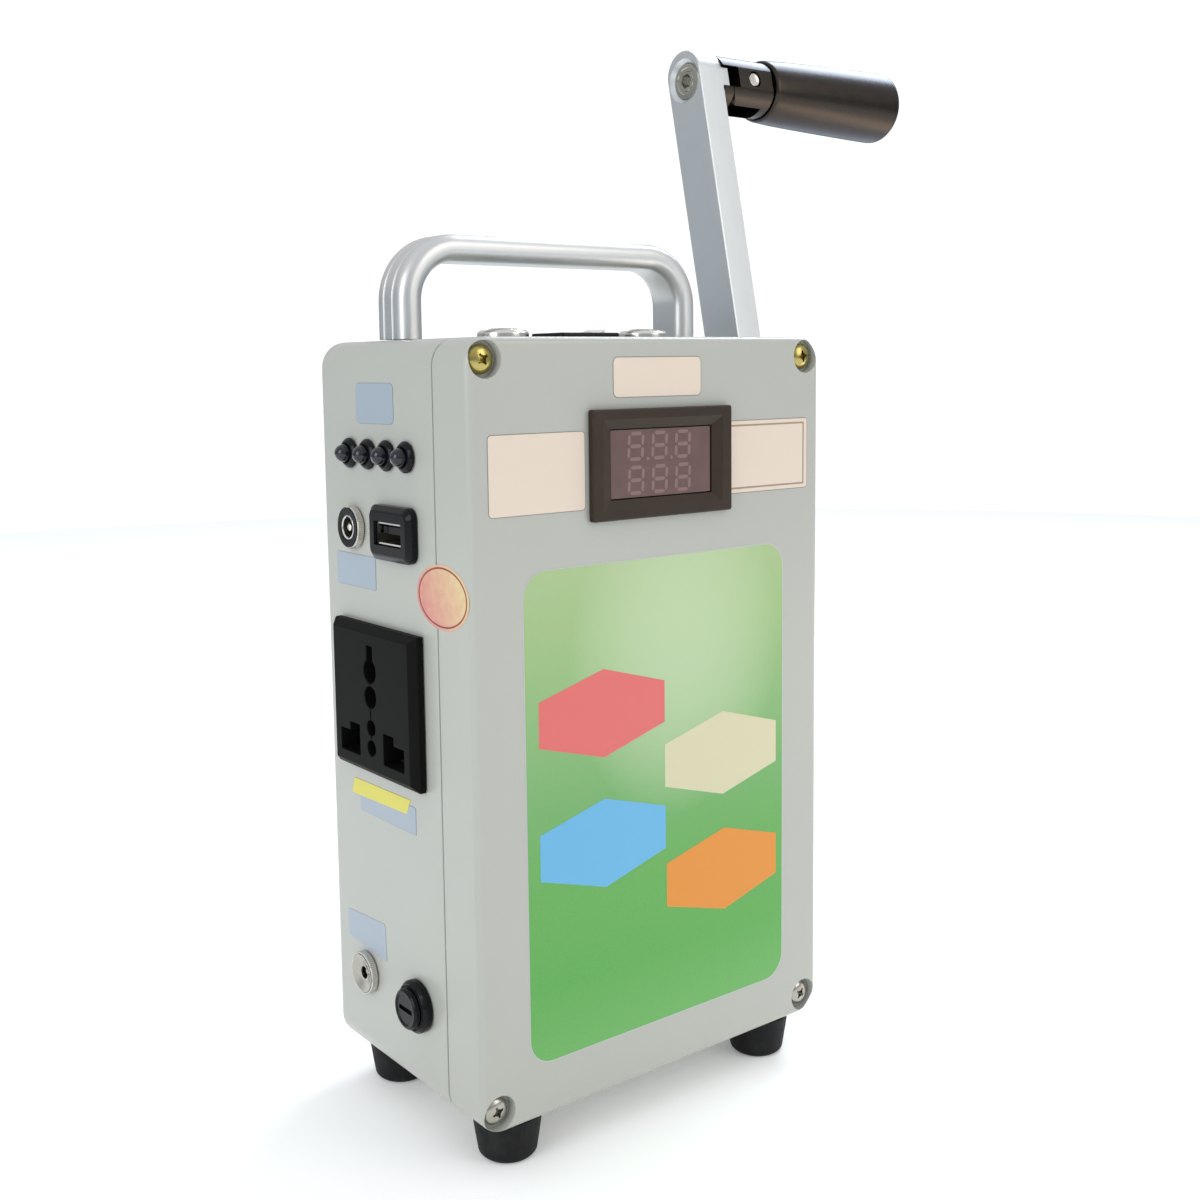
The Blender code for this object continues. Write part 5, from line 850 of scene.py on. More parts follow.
# %% [markdown]
# Feet
#
# Each foot is a tapered rubber plug with a hollow sole and a barbed peg that snaps through the base.
# The lathe makes all of it from one profile, with the well rounded edges of moulded rubber.

# %% Feet
foot_profile = [
    (10, 0), (10, 3.1), (12, 3.6), (12, 6.6), (10.9, 7.75), (9, 8.05), (1.2, 9.25), (0.3, 9.3),
    (0.3, 2.2), (-3.3, 2.2), (-3.3, 2.9), (-5.9, 2.2), (-5.9, 0),
]
for row, y in (("front", -FOOT_Y), ("rear", FOOT_Y)):
    for column, x in (("left", -FOOT_X), ("right", FOOT_X)):
        node = "foot_" + row + "_" + column
        foot = lathe(foot_profile, 56, 0.5)
        piece("rubber_" + node, foot, at(x, y, 0, UNDER_AXES), "foot_rubber", node)

# %% [markdown]
# Carry handle
#
# The handle is one bent aluminium bar with a flat oval section and two fine grooves along its outer
# face. The section is swept along the bend by hand: at each point of the path it is laid square to
# the bar, and neighbouring rings are joined, which keeps the grooves crisp.

# %% Carry handle
HANDLE_TOP, HANDLE_THICKNESS, HANDLE_BREADTH = 28.3, 7.3, 14.5
half_u, edge_radius = HANDLE_THICKNESS / 2, 3.2
bend, level = 18 - half_u, HANDLE_TOP - half_u
corner_x, corner_z = HANDLE_LEG_X - bend, level - bend
path = [(-HANDLE_LEG_X, GAP)] + arc((-corner_x, corner_z), bend, 180, 90, 16)
path += arc((corner_x, corner_z), bend, 90, 0, 16) + [(HANDLE_LEG_X, GAP)]
section = rectangle(HANDLE_THICKNESS, HANDLE_BREADTH, edge_radius, steps=8)
groove = [(0, -0.6), (0.12, -0.42), (0.45, -0.16), (0.45, 0.16), (0.12, 0.42), (0, 0.6)]
for middle in (-2.2, 2.2):
    section += [(half_u - depth, middle + v) for depth, v in groove]
bm = bmesh.new()
rings = []
for index, (x, z) in enumerate(path):
    before, after = path[max(index - 1, 0)], path[min(index + 1, len(path) - 1)]
    run = Vector((after[0] - before[0], after[1] - before[1])).normalized()
    outward = Vector((-run.y, run.x))
    rings.append([bm.verts.new((x + outward.x * u, v, z + outward.y * u)) for u, v in section])
skin(bm, rings)
bm.faces.new(rings[0])
bm.faces.new(reversed(rings[-1]))
handle = solid("handle_bar", bm)
cut(handle, joined(*(rod(HANDLE_BORE, -BEHIND, 13, (side * HANDLE_LEG_X, 0), 24) for side in SIDES)))
put(handle, on_top(0, HANDLE_Y), "handle_aluminium", "carry_handle")

# %% [markdown]
# Panel meter
#
# The bezel is a moulded frame whose inner faces slope down to the window. Behind the smoked window the
# unlit segments of two rows of digits show as paler bars. They are generic figure-eight digits, made
# as thin hexagonal bars and a dot.

# %% Panel meter
METER = on_front(0, METER_HEIGHT)
WINDOW, MOUTH = (35, 18.2), (41.2, 23.3)
FACE, SLOPE_REAR, PROUD = 2, 0.8, 0.5


def funnel(front, rear, front_size, rear_size):
    """A four-sided taper along Z."""
    return stack((rectangle(*rear_size), rear), (rectangle(*front_size), front))


bezel = solid("meter_frame", slab(rectangle(48, 28.5, 0.7, steps=4), GAP, FACE, 0.45, 3))
weld(bezel, slab(rectangle(44.4, 25), -5, 1))
grow = PROUD / (FACE - SLOPE_REAR)
wide = tuple(outer + (outer - inner) * grow for outer, inner in zip(MOUTH, WINDOW))
cut(bezel, funnel(FACE + PROUD, SLOPE_REAR, wide, WINDOW))
cut(bezel, slab(rectangle(*WINDOW), -7, 1.4))
put(bezel, METER, "bezel_black", "meter_bezel", crease=12)
pane = slab(rectangle(WINDOW[0] - 2 * GAP, WINDOW[1] - 2 * GAP, 0.3, steps=3), -1, 0.5, 0.1, 2)
piece("meter_pane", pane, METER, "display_window", "meter_window")


def segment(length, width, u, v, upright):
    tip = width / 2
    bar = [(-length / 2, 0), (tip - length / 2, tip), (length / 2 - tip, tip), (length / 2, 0),
           (length / 2 - tip, -tip), (tip - length / 2, -tip)]
    if upright:
        bar = [(-b, a) for a, b in bar]
    return [(u + a + (v + b) * 0.05, v + b) for a, b in bar]


digit = [segment(3.8, 0.95, 0, v, False) for v in (-3.3, 0, 3.3)]
digit += [segment(2.85, 0.95, u, v, True) for u in (-2.3, 2.3) for v in (-1.65, 1.65)]
bars = []
for row, row_v in enumerate((4.45, -4.35)):
    for column in (-1, 0, 1):
        dot = [circle(0.5, 12, (4.05, -3.4))] if row == 0 and column < 1 else []
        for outline in digit + dot:
            bars.append(shifted(slab(outline, 0.45, 0.54), column * 8.1 - 0.7, row_v))
piece("meter_digits", joined(*bars), METER, "display_segment", slot="smoked_window")

# %% [markdown]
# Mains socket
#
# The socket takes several kinds of plug, so its openings have stepped outlines. Each is cut through
# the plate as on the real one, and a springy brass contact stands inside against one wall, which
# gives the small bright lines in the dark holes.

# %% Mains socket
def blade(side):
    inner, outer, core = side * 6.3, side * 16.7, side * 11.5
    low, step, high = -15.6, -9.6, -7.2
    outline = [(inner, low), (outer, low), (outer, step), (core, step), (core, high), (inner, high)]
    return outline if side > 0 else outline[::-1]


SOCKET = on_left(SOCKET_Y, SOCKET_HEIGHT)
SOCKET_FACE = 4
KEY_RISE, KEY_RADIUS = 8.4, 3.2
meet = math.degrees(math.asin(1.5 / KEY_RADIUS))
key = [(-1.5, KEY_RISE + 6.8), (1.5, KEY_RISE + 6.8)]
key += list(reversed(arc((0, KEY_RISE), KEY_RADIUS, -270 + meet, 90 - meet, 24)))
flange = slab(rectangle(43, 40.6), GAP, SOCKET_FACE)
bevel_where(flange, at_level("Z", SOCKET_FACE), 1.9, 1)
bevel_where(flange, lambda edge: edge.calc_face_angle(0) > 0.3, 0.22, 2)
socket = solid("plate", flange)
weld(socket, slab(rectangle(*SOCKET_BACK), -17, 2))
outlines = [softened(outline, 0.35, 2, True) for outline in (blade(-1), blade(1))] + [key]
outlines += [circle(radius, 32, (0, rise)) for rise, radius in ((1.4, 3.0), (-6.9, 2.15), (-12.4, 2.15))]
cut(socket, joined(*(slab(outline, -10, 6) for outline in outlines)))


def in_the_face(edge):
    inside = all(abs(vert.co.x) < 18 and abs(vert.co.y) < 17.5 for vert in edge.verts)
    return inside and at_level("Z", SOCKET_FACE)(edge)


eased = bevel_where(melted(socket), in_the_face, 0.28, 2)
piece("socket_plate", eased, SOCKET, "socket_black", "ac_socket", crease=25)

contacts = []
for width, tall, top, u, v in (
    (0.5, 4.6, 1.2, 2.55, KEY_RISE),
    (0.5, 3.6, 1.2, 2.1, 1.4),
    (7.2, 0.5, -0.5, -11, -14.9),
    (7.2, 0.5, -0.5, 11, -14.9),
    (0.4, 2.2, 0.5, 1.4, -6.9),
    (0.4, 2.2, 0.5, 1.4, -12.4),
):
    strip = shifted(slab(rectangle(width, tall), -8, top), u, v)
    contacts.append(bevel_where(strip, lambda edge: True, 0.12, 2))
piece("socket_contacts", joined(*contacts), SOCKET, "contact_brass", slot="brass")

# %% [markdown]
# Lamps in their holders
#
# Four 5 mm lamps stand in black snap-in holders, thin rings with a rounded lip. A lamp is a cylinder
# with a domed end. The lamps and the strip of board that joins them are one piece in the CAD, so
# they are one piece here.

# %% Lamps in their holders
holder = [
    (1.7, 2.7), (1.7, 3.3), (0.9, 4.1), (GAP, 4.1), (GAP, HOLDER_RADIUS), (-8, HOLDER_RADIUS), (-8, 2.7),
]
for index, y in enumerate(LAMP_YS):
    number = str(index + 1)
    ring = lathe(holder, 48, 0.3)
    piece("lamp_holder_" + number, ring, on_left(y, LAMP_HEIGHT), "gloss_black", "led_holder_" + number)
LAMP_RADIUS, LAMP_TIP = 2.4, 4.8
lamp_profile = arc((LAMP_TIP - LAMP_RADIUS, 0), LAMP_RADIUS, 0, 90, 6) + [(-8, LAMP_RADIUS), (-8, 0)]
lamps = [shifted(lathe(lamp_profile, 32), -y, LAMP_HEIGHT) for y in LAMP_YS]
lamps.append(shifted(slab(rectangle(38.9, 8.2, 0.5), -10.2, -8.2), -sum(LAMP_YS) / 4, LAMP_HEIGHT))
piece("status_lamps", joined(*lamps), on_left(), "lamp_lens", "status_leds")

# %% [markdown]
# Round jacks
#
# Each jack is a turned nickel body with a knurled rim for the fingers. The output jack has a black
# ring let into its face, the charging jack a dull dished one. The knurl is real: every second point
# round the rim is pulled in a little.

# %% Round jacks
JACK_OUTSIDE = [
    (-12, 0), (-12, JACK_RADIUS), (GAP, JACK_RADIUS),
    (GAP, 5.6), (0.5, 5.9), (2.0, 5.9), (2.3, 5.65), (2.3, 5.5), (1.4, 5.5),
]
JACK_INSIDE = {
    "dc_out": [
        (1.4, 3.4), (2.15, 3.4), (2.3, 3.25), (2.3, 2.95), (2.1, 2.8),
        (-6.7, 2.8), (-6.7, 1.0), (1.7, 1.0), (2.0, 0.6), (2.0, 0),
    ],
    "charge": [(1.4, 2.8), (-6.7, 2.8), (-6.7, 1.0), (0.4, 1.0), (0.7, 0.6), (0.7, 0)],
}
JACK_FACES = {
    "dc_out": [(1.45, 3.5), (2.4, 3.5), (2.45, 5.3), (1.45, 5.3)],
    "charge": [(1.45, 1.75), (1.5, 1.75), (1.6, 2.4), (2.0, 3.6), (2.45, 4.9), (2.45, 5.35), (1.45, 5.35)],
}
KNURL = (0.4, 2.1, 5.8, 0.22)
for name, finish in (("dc_out", "gloss_black"), ("charge", "old_nickel")):
    place = on_left(*JACK_PLACES[name])
    profile = JACK_OUTSIDE + JACK_INSIDE[name]
    body = lathe(profile[::-1], 120, knurl=KNURL)
    piece(name + "_body", body, place, "nickel", name + "_jack", crease=20)
    piece(name + "_face", lathe(JACK_FACES[name], 64, 0.08), place, finish, name + "_insert")

# %% [markdown]
# USB outlet
#
# A rounded black bezel with a broad chamfer holds a folded steel shell, and a plastic tongue with four
# contacts lies in the shell's upper half. The shell is a real thin-walled box, so light falls on its
# inner faces.

# %% USB outlet
USB = on_left(USB_Y, OUTLET_HEIGHT)
usb = solid("usb_frame", stack(*(
    (rectangle(21.2 - 2 * inset, 14.5 - 2 * inset, 3.0 - 0.8 * inset, steps=8), level)
    for inset, level in ((0, GAP), (0, 1.6), (0.12, 1.95), (1.2, 2.75), (1.5, 2.93), (1.85, 3.0))
)))
weld(usb, slab(rectangle(*USB_BACK), -12, 1.5))
cut(usb, slab(rectangle(13.6, 6.3), -14, 5))
put(usb, USB, "gloss_black", "usb_bezel", crease=30)
shell = solid("usb_tube", slab(rectangle(13, 5.7, 0.5, steps=4), -12, 2.2))
cut(shell, slab(rectangle(12.2, 4.9, 0.3, steps=4), -11.6, 4))
put(shell, USB, "nickel", "usb_shell")
tongue = shifted(slab(rectangle(10.6, 1.8, 0.2), -11.3, 0.8, 0.2, 2), 0, 0.775)
piece("usb_blade", tongue, USB, "gloss_black", "usb_tongue")
fingers = [shifted(slab(rectangle(1.1, 0.12), -9, 0.4), u, -0.17) for u in (-3.5, -1.1, 1.1, 3.5)]
piece("usb_fingers", joined(*fingers), USB, "contact_brass", slot="brass")

# %% [markdown]
# Fuse holder
#
# The holder is a deep black ring with a stepped face, and its slotted cap turns and pulls out with the
# fuse. Both are turned, and the cap has a raised edge round its slot face.

# %% Fuse holder
FUSE = on_left(FUSE_Y, LOW_ROW)
holder = [
    (-26.7, 0), (-26.7, FUSE_RADIUS), (GAP, FUSE_RADIUS), (GAP, 7.0), (2.0, 7.0), (2.9, 6.3), (2.9, 5.9),
    (2.55, 5.75), (2.55, 5.6), (2.9, 5.5), (2.9, 3.9), (-23.1, 3.9), (-23.1, 0),
]
piece("fuse_barrel", lathe(holder[::-1], 64, 0.25), FUSE, "gloss_black", "fuse_holder")
cap = [
    (-1.1, 0), (-1.1, 3.6), (3.2, 3.6), (3.2, 5.4), (4.3, 5.4), (4.8, 4.9), (4.8, 4.3), (4.5, 4.0), (4.5, 0),
]
knob = solid("fuse_knob", lathe(cap[::-1], 64, 0.15))
cut(knob, slab(rectangle(6.4, 1.3, 0.2), 3.6, 6))
put(knob, FUSE, "gloss_black", "fuse_cap")

# %% [markdown]
# Push buttons and rocker switch
#
# On the top stand two metal push buttons and, between them, a rocker switch with a pale paddle. The
# marks on the paddle are the usual bar and ring for on and off.

# %% Push buttons and rocker switch
button_ring = [
    (2.5, 4.8), (2.5, 6.2), (1.8, 7.0), (GAP, 7.0), (GAP, BUTTON_RADIUS), (-14, BUTTON_RADIUS), (-14, 4.8),
]
button_cap = [(2.85, 0), (3.0, 2.4), (2.95, 3.6), (2.4, 4.5), (-6, 4.5), (-6, 0)]
for side, name in zip(SIDES, ("left_button", "right_button")):
    place = on_top(side * BUTTON_X, SWITCH_Y)
    piece(name + "_ring", lathe(button_ring, 64, 0.3), place, "nickel", name + "_bezel")
    piece(name + "_cap", lathe(button_cap, 56, 0.3), place, "steel", name)

bezel = solid("rocker_frame", slab(rectangle(20.6, 14.6, 1.0, steps=4), GAP, 1.8, 0.4, 3))
weld(bezel, slab(rectangle(18.6, 12.4), -16, 1.0))
cut(bezel, slab(rectangle(15.8, 9.4), -8.2, 3))
put(bezel, on_top(0, SWITCH_Y), "gloss_black", "rocker_bezel")

PADDLE, PADDLE_DEPTH = 7.3, 3.2
rise = PADDLE * math.tan(math.radians(8))
side_view = [
    (-PADDLE, rise), (-3.6, rise * 0.42), (0, 0.12), (3.6, rise * 0.42), (PADDLE, rise),
    (PADDLE, rise - PADDLE_DEPTH), (0, -PADDLE_DEPTH - rise), (-PADDLE, rise - PADDLE_DEPTH),
]
paddle = laid(slab(side_view[::-1], -4.4, 4.4, 0.3, 2, 0.3), FRONT_AXES)
piece("rocker_paddle", paddle, ROCKER, "white_plastic", "rocker")
slant = math.degrees(math.atan2(rise, PADDLE))


def on_slant(side):
    return Matrix.Translation((side * 4.4, 0, rise * 0.56)) @ tilt(-side * slant, "Y")


on_mark = slab(rectangle(0.7, 3.0, 0.3), 0, 0.1)
off_mark = melted(cut(solid("off_mark", slab(circle(1.5, 32), 0, 0.1)), slab(circle(0.9, 32), -1, 1)))
marks = joined(laid(on_mark, on_slant(1)), laid(off_mark, on_slant(-1)))
piece("rocker_marks", marks, ROCKER, "gloss_black", slot="black_plastic", body="rocker")

# %% [markdown]
# Crank shaft, bush and arm
#
# The shaft leaves the box through a brass bush and carries a flat aluminium arm with full round ends
# and finely chamfered edges. Near its top a wide countersink takes the screw that holds the grip's
# joint. A key stands out of its far side and locks that joint.

# %% Crank shaft, bush and arm
CRANK_OUT = CRANK @ ALONG_X
bush = [
    (2.3, 6.3), (2.3, 10.3), (1.6, 11.0), (GAP, 11.0), (GAP, BUSH_RADIUS), (-9, BUSH_RADIUS), (-9, 6.3),
]
on_right = at(HALF_WIDTH, 0, SHAFT_HEIGHT, ALONG_X)
piece("shaft_bush", lathe(bush, 64, 0.3), on_right, "brass", "wall_bush")

ARM_IN, ARM_OUT, ARM_HALF = 68, 77.7, 7.65
shaft = [
    (65.4, 0), (65.4, 2.7), (77.2, 2.7), (77.4, 2.9), (77.4, 3.8), (77.2, 4.0), (67.7, 4.0), (67.7, 5.7),
    (67.4, 6.0), (31, 6.0), (31, 0),
]
piece("shaft_bar", lathe(shaft[::-1], 48), CRANK_OUT, "steel", "crank_shaft")

bolt = [
    (83.5, 0), (83.5, 3.9), (83.1, 4.3), (79.5, 4.3), (79.5, 6.7), (79.2, 7.0), (78.0, 7.0), (78.0, 2.4),
    (65.7, 2.4), (65.7, 0),
]
screw = solid("arm_bolt", lathe(bolt, 48, 0.2))
cut(screw, slab(circle(2.4, 6), 81.5, 85))
put(screw, CRANK_OUT, "steel", "arm_screw")

outline = arc((0, ARM_REACH + 1.9), ARM_HALF, 0, 180, 32) + arc((0, 0), ARM_HALF, 180, 360, 32)
arm = solid("arm_bar", slab(outline, ARM_IN, ARM_OUT, 0.5, 2, 0.5))
weld(arm, slab(rectangle(14.8, 6.2, 0.4, (0, ARM_REACH), 3), ARM_OUT - 4, ARM_OUT + 3.1, 0.25, 2))
cut(arm, rod(4.3, ARM_IN - 2, ARM_OUT + 2))
cut(arm, rod(2.8, ARM_IN - 2, ARM_OUT + 6, (0, ARM_REACH)))
sink = [(-2, 0), (-2, 8.2), (0, 6.95), (0.25, 6.75), (4.3, 2.65), (4.3, 0)]
cut(arm, shifted(lathe([(ARM_IN + out, radius) for out, radius in reversed(sink)], 56), 0, ARM_REACH))
put(arm, CRANK_OUT, "arm_aluminium", "crank_arm")

bolt = [
    (86.3, 0), (86.3, 2.3), (86.0, 2.5), (72, 2.5), (69.3, 5.6), (69.0, 5.4), (68.9, 4.3), (69.2, 4.0),
    (69.2, 3.2), (68.95, 3.0), (69.05, 0),
]
pivot = solid("pivot_bolt", shifted(lathe(bolt, 56), 0, ARM_REACH))
cut(pivot, slab(circle(2.4, 6, (0, ARM_REACH)), 67, 71))
put(pivot, CRANK_OUT, "old_nickel", "grip_pivot_screw")

# %% [markdown]
# Folding joint
#
# A tongue is screwed to the arm, and a forked yoke turns round it on a cross pin, so the grip can fold
# down against the arm. The key of the arm shows as a bright tab in the yoke's window. The cuts
# follow the CAD solid, since they decide how far the joint turns.

# %% Folding joint
NEAR_END, KEY_FACE, YOKE_REACH, YOKE_RADIUS = -13.5, -10.7, 8.2, 9
KEY_HALF, PIN_BORE, FLAT = 3.4, 2.6, 8.5
BEFORE, FAR = NEAR_END - BEHIND, YOKE_RADIUS + BEHIND

side_view = [(NEAR_END, 4.5), (NEAR_END, -4.5)] + arc((0, 0), 4.5, -90, 90, 20)
tongue = solid("joint_tongue", laid(slab(side_view, -4, 4), FRONT_AXES))
weld(tongue, cut(
    solid("knuckle", bar_x(YOKE_RADIUS, NEAR_END, -YOKE_RADIUS - GAP, sides=56)),
    block((BEFORE, -FAR, -KEY_HALF), (0, FAR, FAR)),
    block((BEFORE, -FAR, -FAR), (0, FAR, 0.7 - YOKE_RADIUS)),
    bar_y(10.7, -FAR, FAR, sides=72),
))
cut(
    tongue,
    block((BEFORE, -FAR, -KEY_HALF), (KEY_FACE + GAP, FAR, KEY_HALF)),
    bar_x(2.8, NEAR_END - 1, KEY_FACE + 5.8, sides=24),
    bar_y(PIN_BORE, -FAR, FAR),
)
put(tongue, FOLD, "black_anodised", "fold_tongue")

side = math.degrees(math.acos(FLAT / YOKE_RADIUS))
outline = arc((0, 0), YOKE_RADIUS, side, 180 - side, 33)
outline += arc((0, 0), YOKE_RADIUS, 180 + side, 360 - side, 33)
yoke = solid("joint_yoke", laid(slab(outline, NEAR_END, YOKE_REACH, 0.45, 3), ALONG_X))
corner = solid("corner", block((BEFORE, -FAR, -FAR), (0, FAR, 0)))
cut(
    yoke,
    cut(corner, bar_y(10.4, -FAR - BEHIND, FAR + BEHIND, sides=72)),
    block((BEFORE, -FAR, -KEY_HALF), (KEY_FACE + 3.7, FAR, KEY_HALF)),
    block((BEFORE, -4.3, -FAR), (4.8, 4.3, 4.8)),
    bar_y(PIN_BORE, -FAR, FAR),
    bar_x(4.3, 5.5, 12),
)
put(yoke, FOLD, "black_anodised", "fold_yoke")

pin = [(8.2, 0), (8.05, 1.2), (8.2, 1.5), (8.2, 2.0), (7.9, 2.3), (-8.2, 2.3), (-8.2, 0)]
piece("joint_pin", laid(lathe(pin, 40), FRONT_AXES), FOLD, "nickel", "fold_pin")

# %% [markdown]
# Grip
#
# The grip is turned from bar and anodised black. It widens in a long gentle curve from the joint to
# its end, where a deep hole hides the screw that lets it spin. The profile has many points, so the
# highlight stays smooth.

# %% Grip
FOLD_OUT = FOLD @ ALONG_X
GRIP_START, GRIP_LENGTH = YOKE_REACH + 0.6, 59.2
GRIP_END = GRIP_START + GRIP_LENGTH
SINK_FLOOR = GRIP_END - 6
profile = [(GRIP_START, 4.3), (SINK_FLOOR, 4.3), (SINK_FLOOR, 6.2), (GRIP_END - 0.3, 6.2)]
profile += [(GRIP_END, 6.4), (GRIP_END, 10.5), (GRIP_END - 0.5, 11.4), (GRIP_END - 1.2, 11.93)]
for share in (1.0, 0.85, 0.7, 0.55, 0.4, 0.25, 0.12):
    bulge = 10 + 2 * min(1, share * 1.05) ** 0.72
    profile.append((GRIP_START + 1.4 + (GRIP_LENGTH - 3.4) * share, bulge))
profile += [(GRIP_START + 1.4, 10.0), (GRIP_START + 0.5, 9.85), (GRIP_START, 9.4)]
piece("grip_sleeve", lathe(profile, 80), FOLD_OUT, "black_anodised", "hand_grip")
bolt = [(3.3, 0), (3.3, 4.6), (2.3, 5.6), (0.3, 5.6), (0.3, 2.2), (-10.3, 2.2), (-10.3, 0)]
screw = solid("grip_bolt", lathe([(SINK_FLOOR + out, radius) for out, radius in bolt], 48, 0.3))
cut(screw, slab(circle(2.2, 6), SINK_FLOOR + 1.8, SINK_FLOOR + 6))
put(screw, FOLD_OUT, "steel", "grip_end_screw")

# %% [markdown]
# Labels
#
# Each label is a thin plate with rounded corners. Under most of them lies a slightly larger, thinner
# plate in a darker tone, a painted shadow round the label's edge. The right-hand label has a brown line
# printed inside its edge and runs under the meter's rim.

# %% Labels
FILM, HIGH_FILM = 0.10, 0.14
FRONT, LEFT = on_front(), on_left()


def sticker(name, outline, place, finish, thickness=FILM):
    piece(name, slab(outline, 0.01, thickness, 0.03, 1), place, finish, slot="white_plastic")


def label(name, low, high, radius, place, finish, shadow_finish, rim_width=0.22):
    width, height = high[0] - low[0], high[1] - low[1]
    middle = ((low[0] + high[0]) / 2, (low[1] + high[1]) / 2)
    # The larger darker plate shows only as a thin rim: a painted shadow round the label's edge.
    sticker(name + "_edge", rectangle(width, height, radius, middle), place, shadow_finish, FILM * 0.6)
    inner = rectangle(width - 2 * rim_width, height - 2 * rim_width, radius - rim_width, middle)
    sticker(name, inner, place, finish)


for name, low, high, radius in (
    ("top_label", (-15.8, 184.4), (14.5, 194.9), 1.6),
    ("left_label", (-54.7, 156.3), (-25, 176.5), 1.2),
    ("right_label", (23.6, 157.2), (55.2, 177.3), 1.0),
):
    label(name, low, high, radius, FRONT, "label_cream", "label_edge")
middle = (38.1, 167.25)
line = solid("right_label_line", slab(rectangle(31.4, 17.7, 0.3, middle, 2), 0.05, 0.13))
cut(line, slab(rectangle(30.4, 16.7, 0.2, middle, 2), 0, 1))
put(line, FRONT, "label_line", slot="white_plastic")

middle = (0.25, 78.4)
sticker("panel_backing", rectangle(90.7, 128.1, 7.1, middle, 10), FRONT, "panel_edge", FILM * 0.6)
sticker("panel_print", rectangle(90.2, 127.6, 6.9, middle, 10), FRONT, "panel_green")
HEXAGONS = {
    "red": [(-40.8, 109.1), (-20.0, 114.8), (0.8, 108.8), (0.8, 97.5), (-20.0, 91.4), (-40.9, 97.3)],
    "cream": [(0.8, 91.2), (22.0, 97.0), (42.8, 91.0), (42.8, 79.1), (22.0, 73.4), (0.8, 79.5)],
    "blue": [(-41.0, 74.8), (-20.0, 80.4), (0.9, 74.3), (0.9, 62.5), (-19.8, 56.5), (-41.0, 62.8)],
    "orange": [(1.2, 58.0), (22.5, 63.6), (42.9, 57.7), (42.9, 45.8), (22.6, 40.0), (1.2, 45.9)],
}
for hue, points in HEXAGONS.items():
    sticker("hexagon_" + hue, points[::-1], FRONT, "print_" + hue, HIGH_FILM)

# %% Labels on the left wall
for name, low, high, radius in (
    ("lamp_label", (-16.6, 178.3), (3.0, 189.0), 1.7),
    ("outlet_label", (-29.6, 134.0), (-8.4, 143.0), 0.6),
    ("under_label", (-20.5, 71.5), (9.0, 79.0), 0.6),
):
    # The blue labels get a narrower painted shadow round their edges.
    label(name, low, high, radius, LEFT, "label_blue", "label_blue_edge", 0.12)
tape = [(-25.1, 75.5), (4.3, 76.3), (6.5, 80.5), (-23.5, 80.0)]
sticker("yellow_tape", softened(tape, 0.3, 2, True), LEFT, "tape_yellow", 0.16)
charging = [(-29.7, 32.8), (-8.4, 31.4), (-9.0, 42.0), (-29.8, 40.6)]
sticker("charging_label", softened(charging, 0.8, 3, True), LEFT, "label_blue")


def oval(half_width, half_height, middle=(24.5, 136.2)):
    return [(middle[0] + half_width * u, middle[1] + half_height * v) for u, v in circle(1, 72)]


sticker("inspection_seal", oval(12, 8.25), LEFT, "seal_foil", 0.08)
ring = solid("seal_print", slab(oval(11.2, 7.6), 0.05, 0.11))
cut(ring, slab(oval(10.75, 7.15), 0, 1))
put(ring, LEFT, "seal_ring", slot="white_plastic")

# %% [markdown]
# Pieces inside
#
# The gear train, the generator, the cells and the board keep their CAD meshes, whose shapes are right.
# Each only needs its finish.

# %% Pieces inside
INSIDE = {
    "foot_rubber": ("lid_gasket",),
    "steel": (
        "handle_screw_left", "handle_screw_right", "generator_can", "generator_rotor", "grip_spindle",
    ),
    "meter_black": ("meter_body",),
    "plate_aluminium": ("inner_plate", "outer_plate"),
    "cell_sleeve": ("battery_pack",),
    "circuit_board": ("inverter_board",),
    "gear_nylon": ("drive_gear", "idler_gear"),
    "brass": ("generator_pinion",),
    "fuse_glass": ("fuse",),
}
for finish, nodes in INSIDE.items():
    for node in nodes:
        for slot in frame["nodes"][node].material_slots:
            slot.material = FINISHES[finish]
    print(finish, "goes on", *nodes)

# %% [markdown]
# Floor and light
#
# The photograph was cut out on white, so the floor is a plain pale sheet and the camera sees white
# round it. A broad lamp at the front right and one at the left shape the box, a cool one above
# streaks the grip's top, and a small warm one lights it from below.

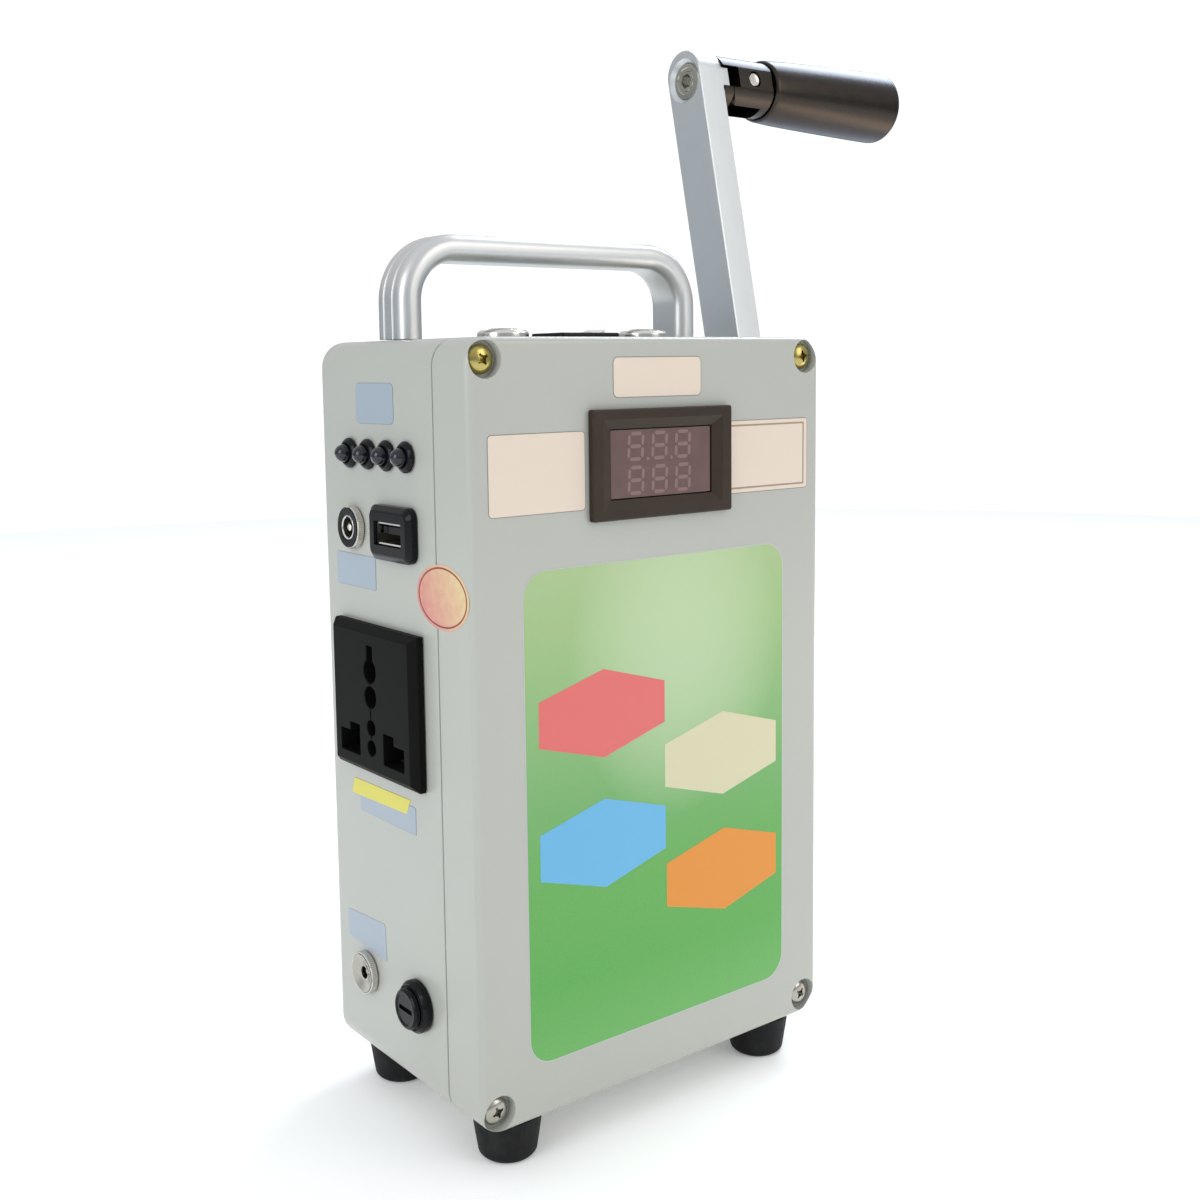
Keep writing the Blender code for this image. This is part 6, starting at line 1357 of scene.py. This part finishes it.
# %% Floor and light
paper = Finish(
    "floor_paper", roughness=0.9, specular_ior_level=0.1, emission_color=(1, 1, 1), emission_strength=0.15
)
paper.set("Base Color", paper.mixed(paper.noise(300, 2), (0.925, 0.932, 0.935), (0.96, 0.965, 0.965)))
sheet = solid("floor", slab(circle(1.6, 96), -0.01, 0))
sheet.data.materials.append(paper.material)

world = bpy.data.worlds.new("studio")
bpy.context.scene.world = world
sky = Graph(world, "Background")
WHITE = (1.1, 1.1, 1.1)
spot = sky.add("ShaderNodeTexCoord", output="Generated")
height = sky.add("ShaderNodeSeparateXYZ", {}, {0: spot}, "Z")
tint = sky.ramp(
    sky.add("ShaderNodeMapRange", {}, {0: height, 1: -0.4, 2: 1.0}),
    (0.0, (0.45, 0.49, 0.52)),
    (0.30, (0.33, 0.385, 0.43)),
    (0.5, (0.66, 0.665, 0.67)),
    (1.0, (0.9, 0.92, 0.95)),
)
seen = sky.add("ShaderNodeLightPath", output="Is Camera Ray")
sky.set("Color", sky.mixed(seen, tint, WHITE))


def soft_lamp(name, place, target, size, power, colour):
    data = bpy.data.lights.new(name, "AREA")
    data.shape, data.size, data.size_y = "RECTANGLE", *size
    data.energy, data.color = power, colour
    lamp = bpy.data.objects.new(name, data)
    lamp.location = place
    lamp.rotation_euler = (Vector(target) - Vector(place)).to_track_quat("-Z", "Y").to_euler()
    bpy.context.scene.collection.objects.link(lamp)
    return lamp


soft_lamp("front_right", (0.45, -1.0, 0.62), (0, 0, 0.14), (0.6, 0.7), 2.9, (1, 0.96, 0.89))
soft_lamp("above_right", (0.82, 0.27, 1.0), (0.11, 0.03, 0.29), (0.62, 0.45), 8.0, (0.84, 0.92, 1.0))
low = soft_lamp("low_warm", (0.36, -0.12, 0.02), (0.10, 0, 0.3), (0.30, 0.14), 0.28, (1, 0.76, 0.54))
low.visible_camera = False
soft_lamp("left", (-1.2, -0.25, 0.55), (0, 0, 0.12), (0.6, 0.8), 4.8, (0.97, 0.99, 1.0))
bpy.context.scene.view_settings.view_transform = "Standard"
print("lamps are set")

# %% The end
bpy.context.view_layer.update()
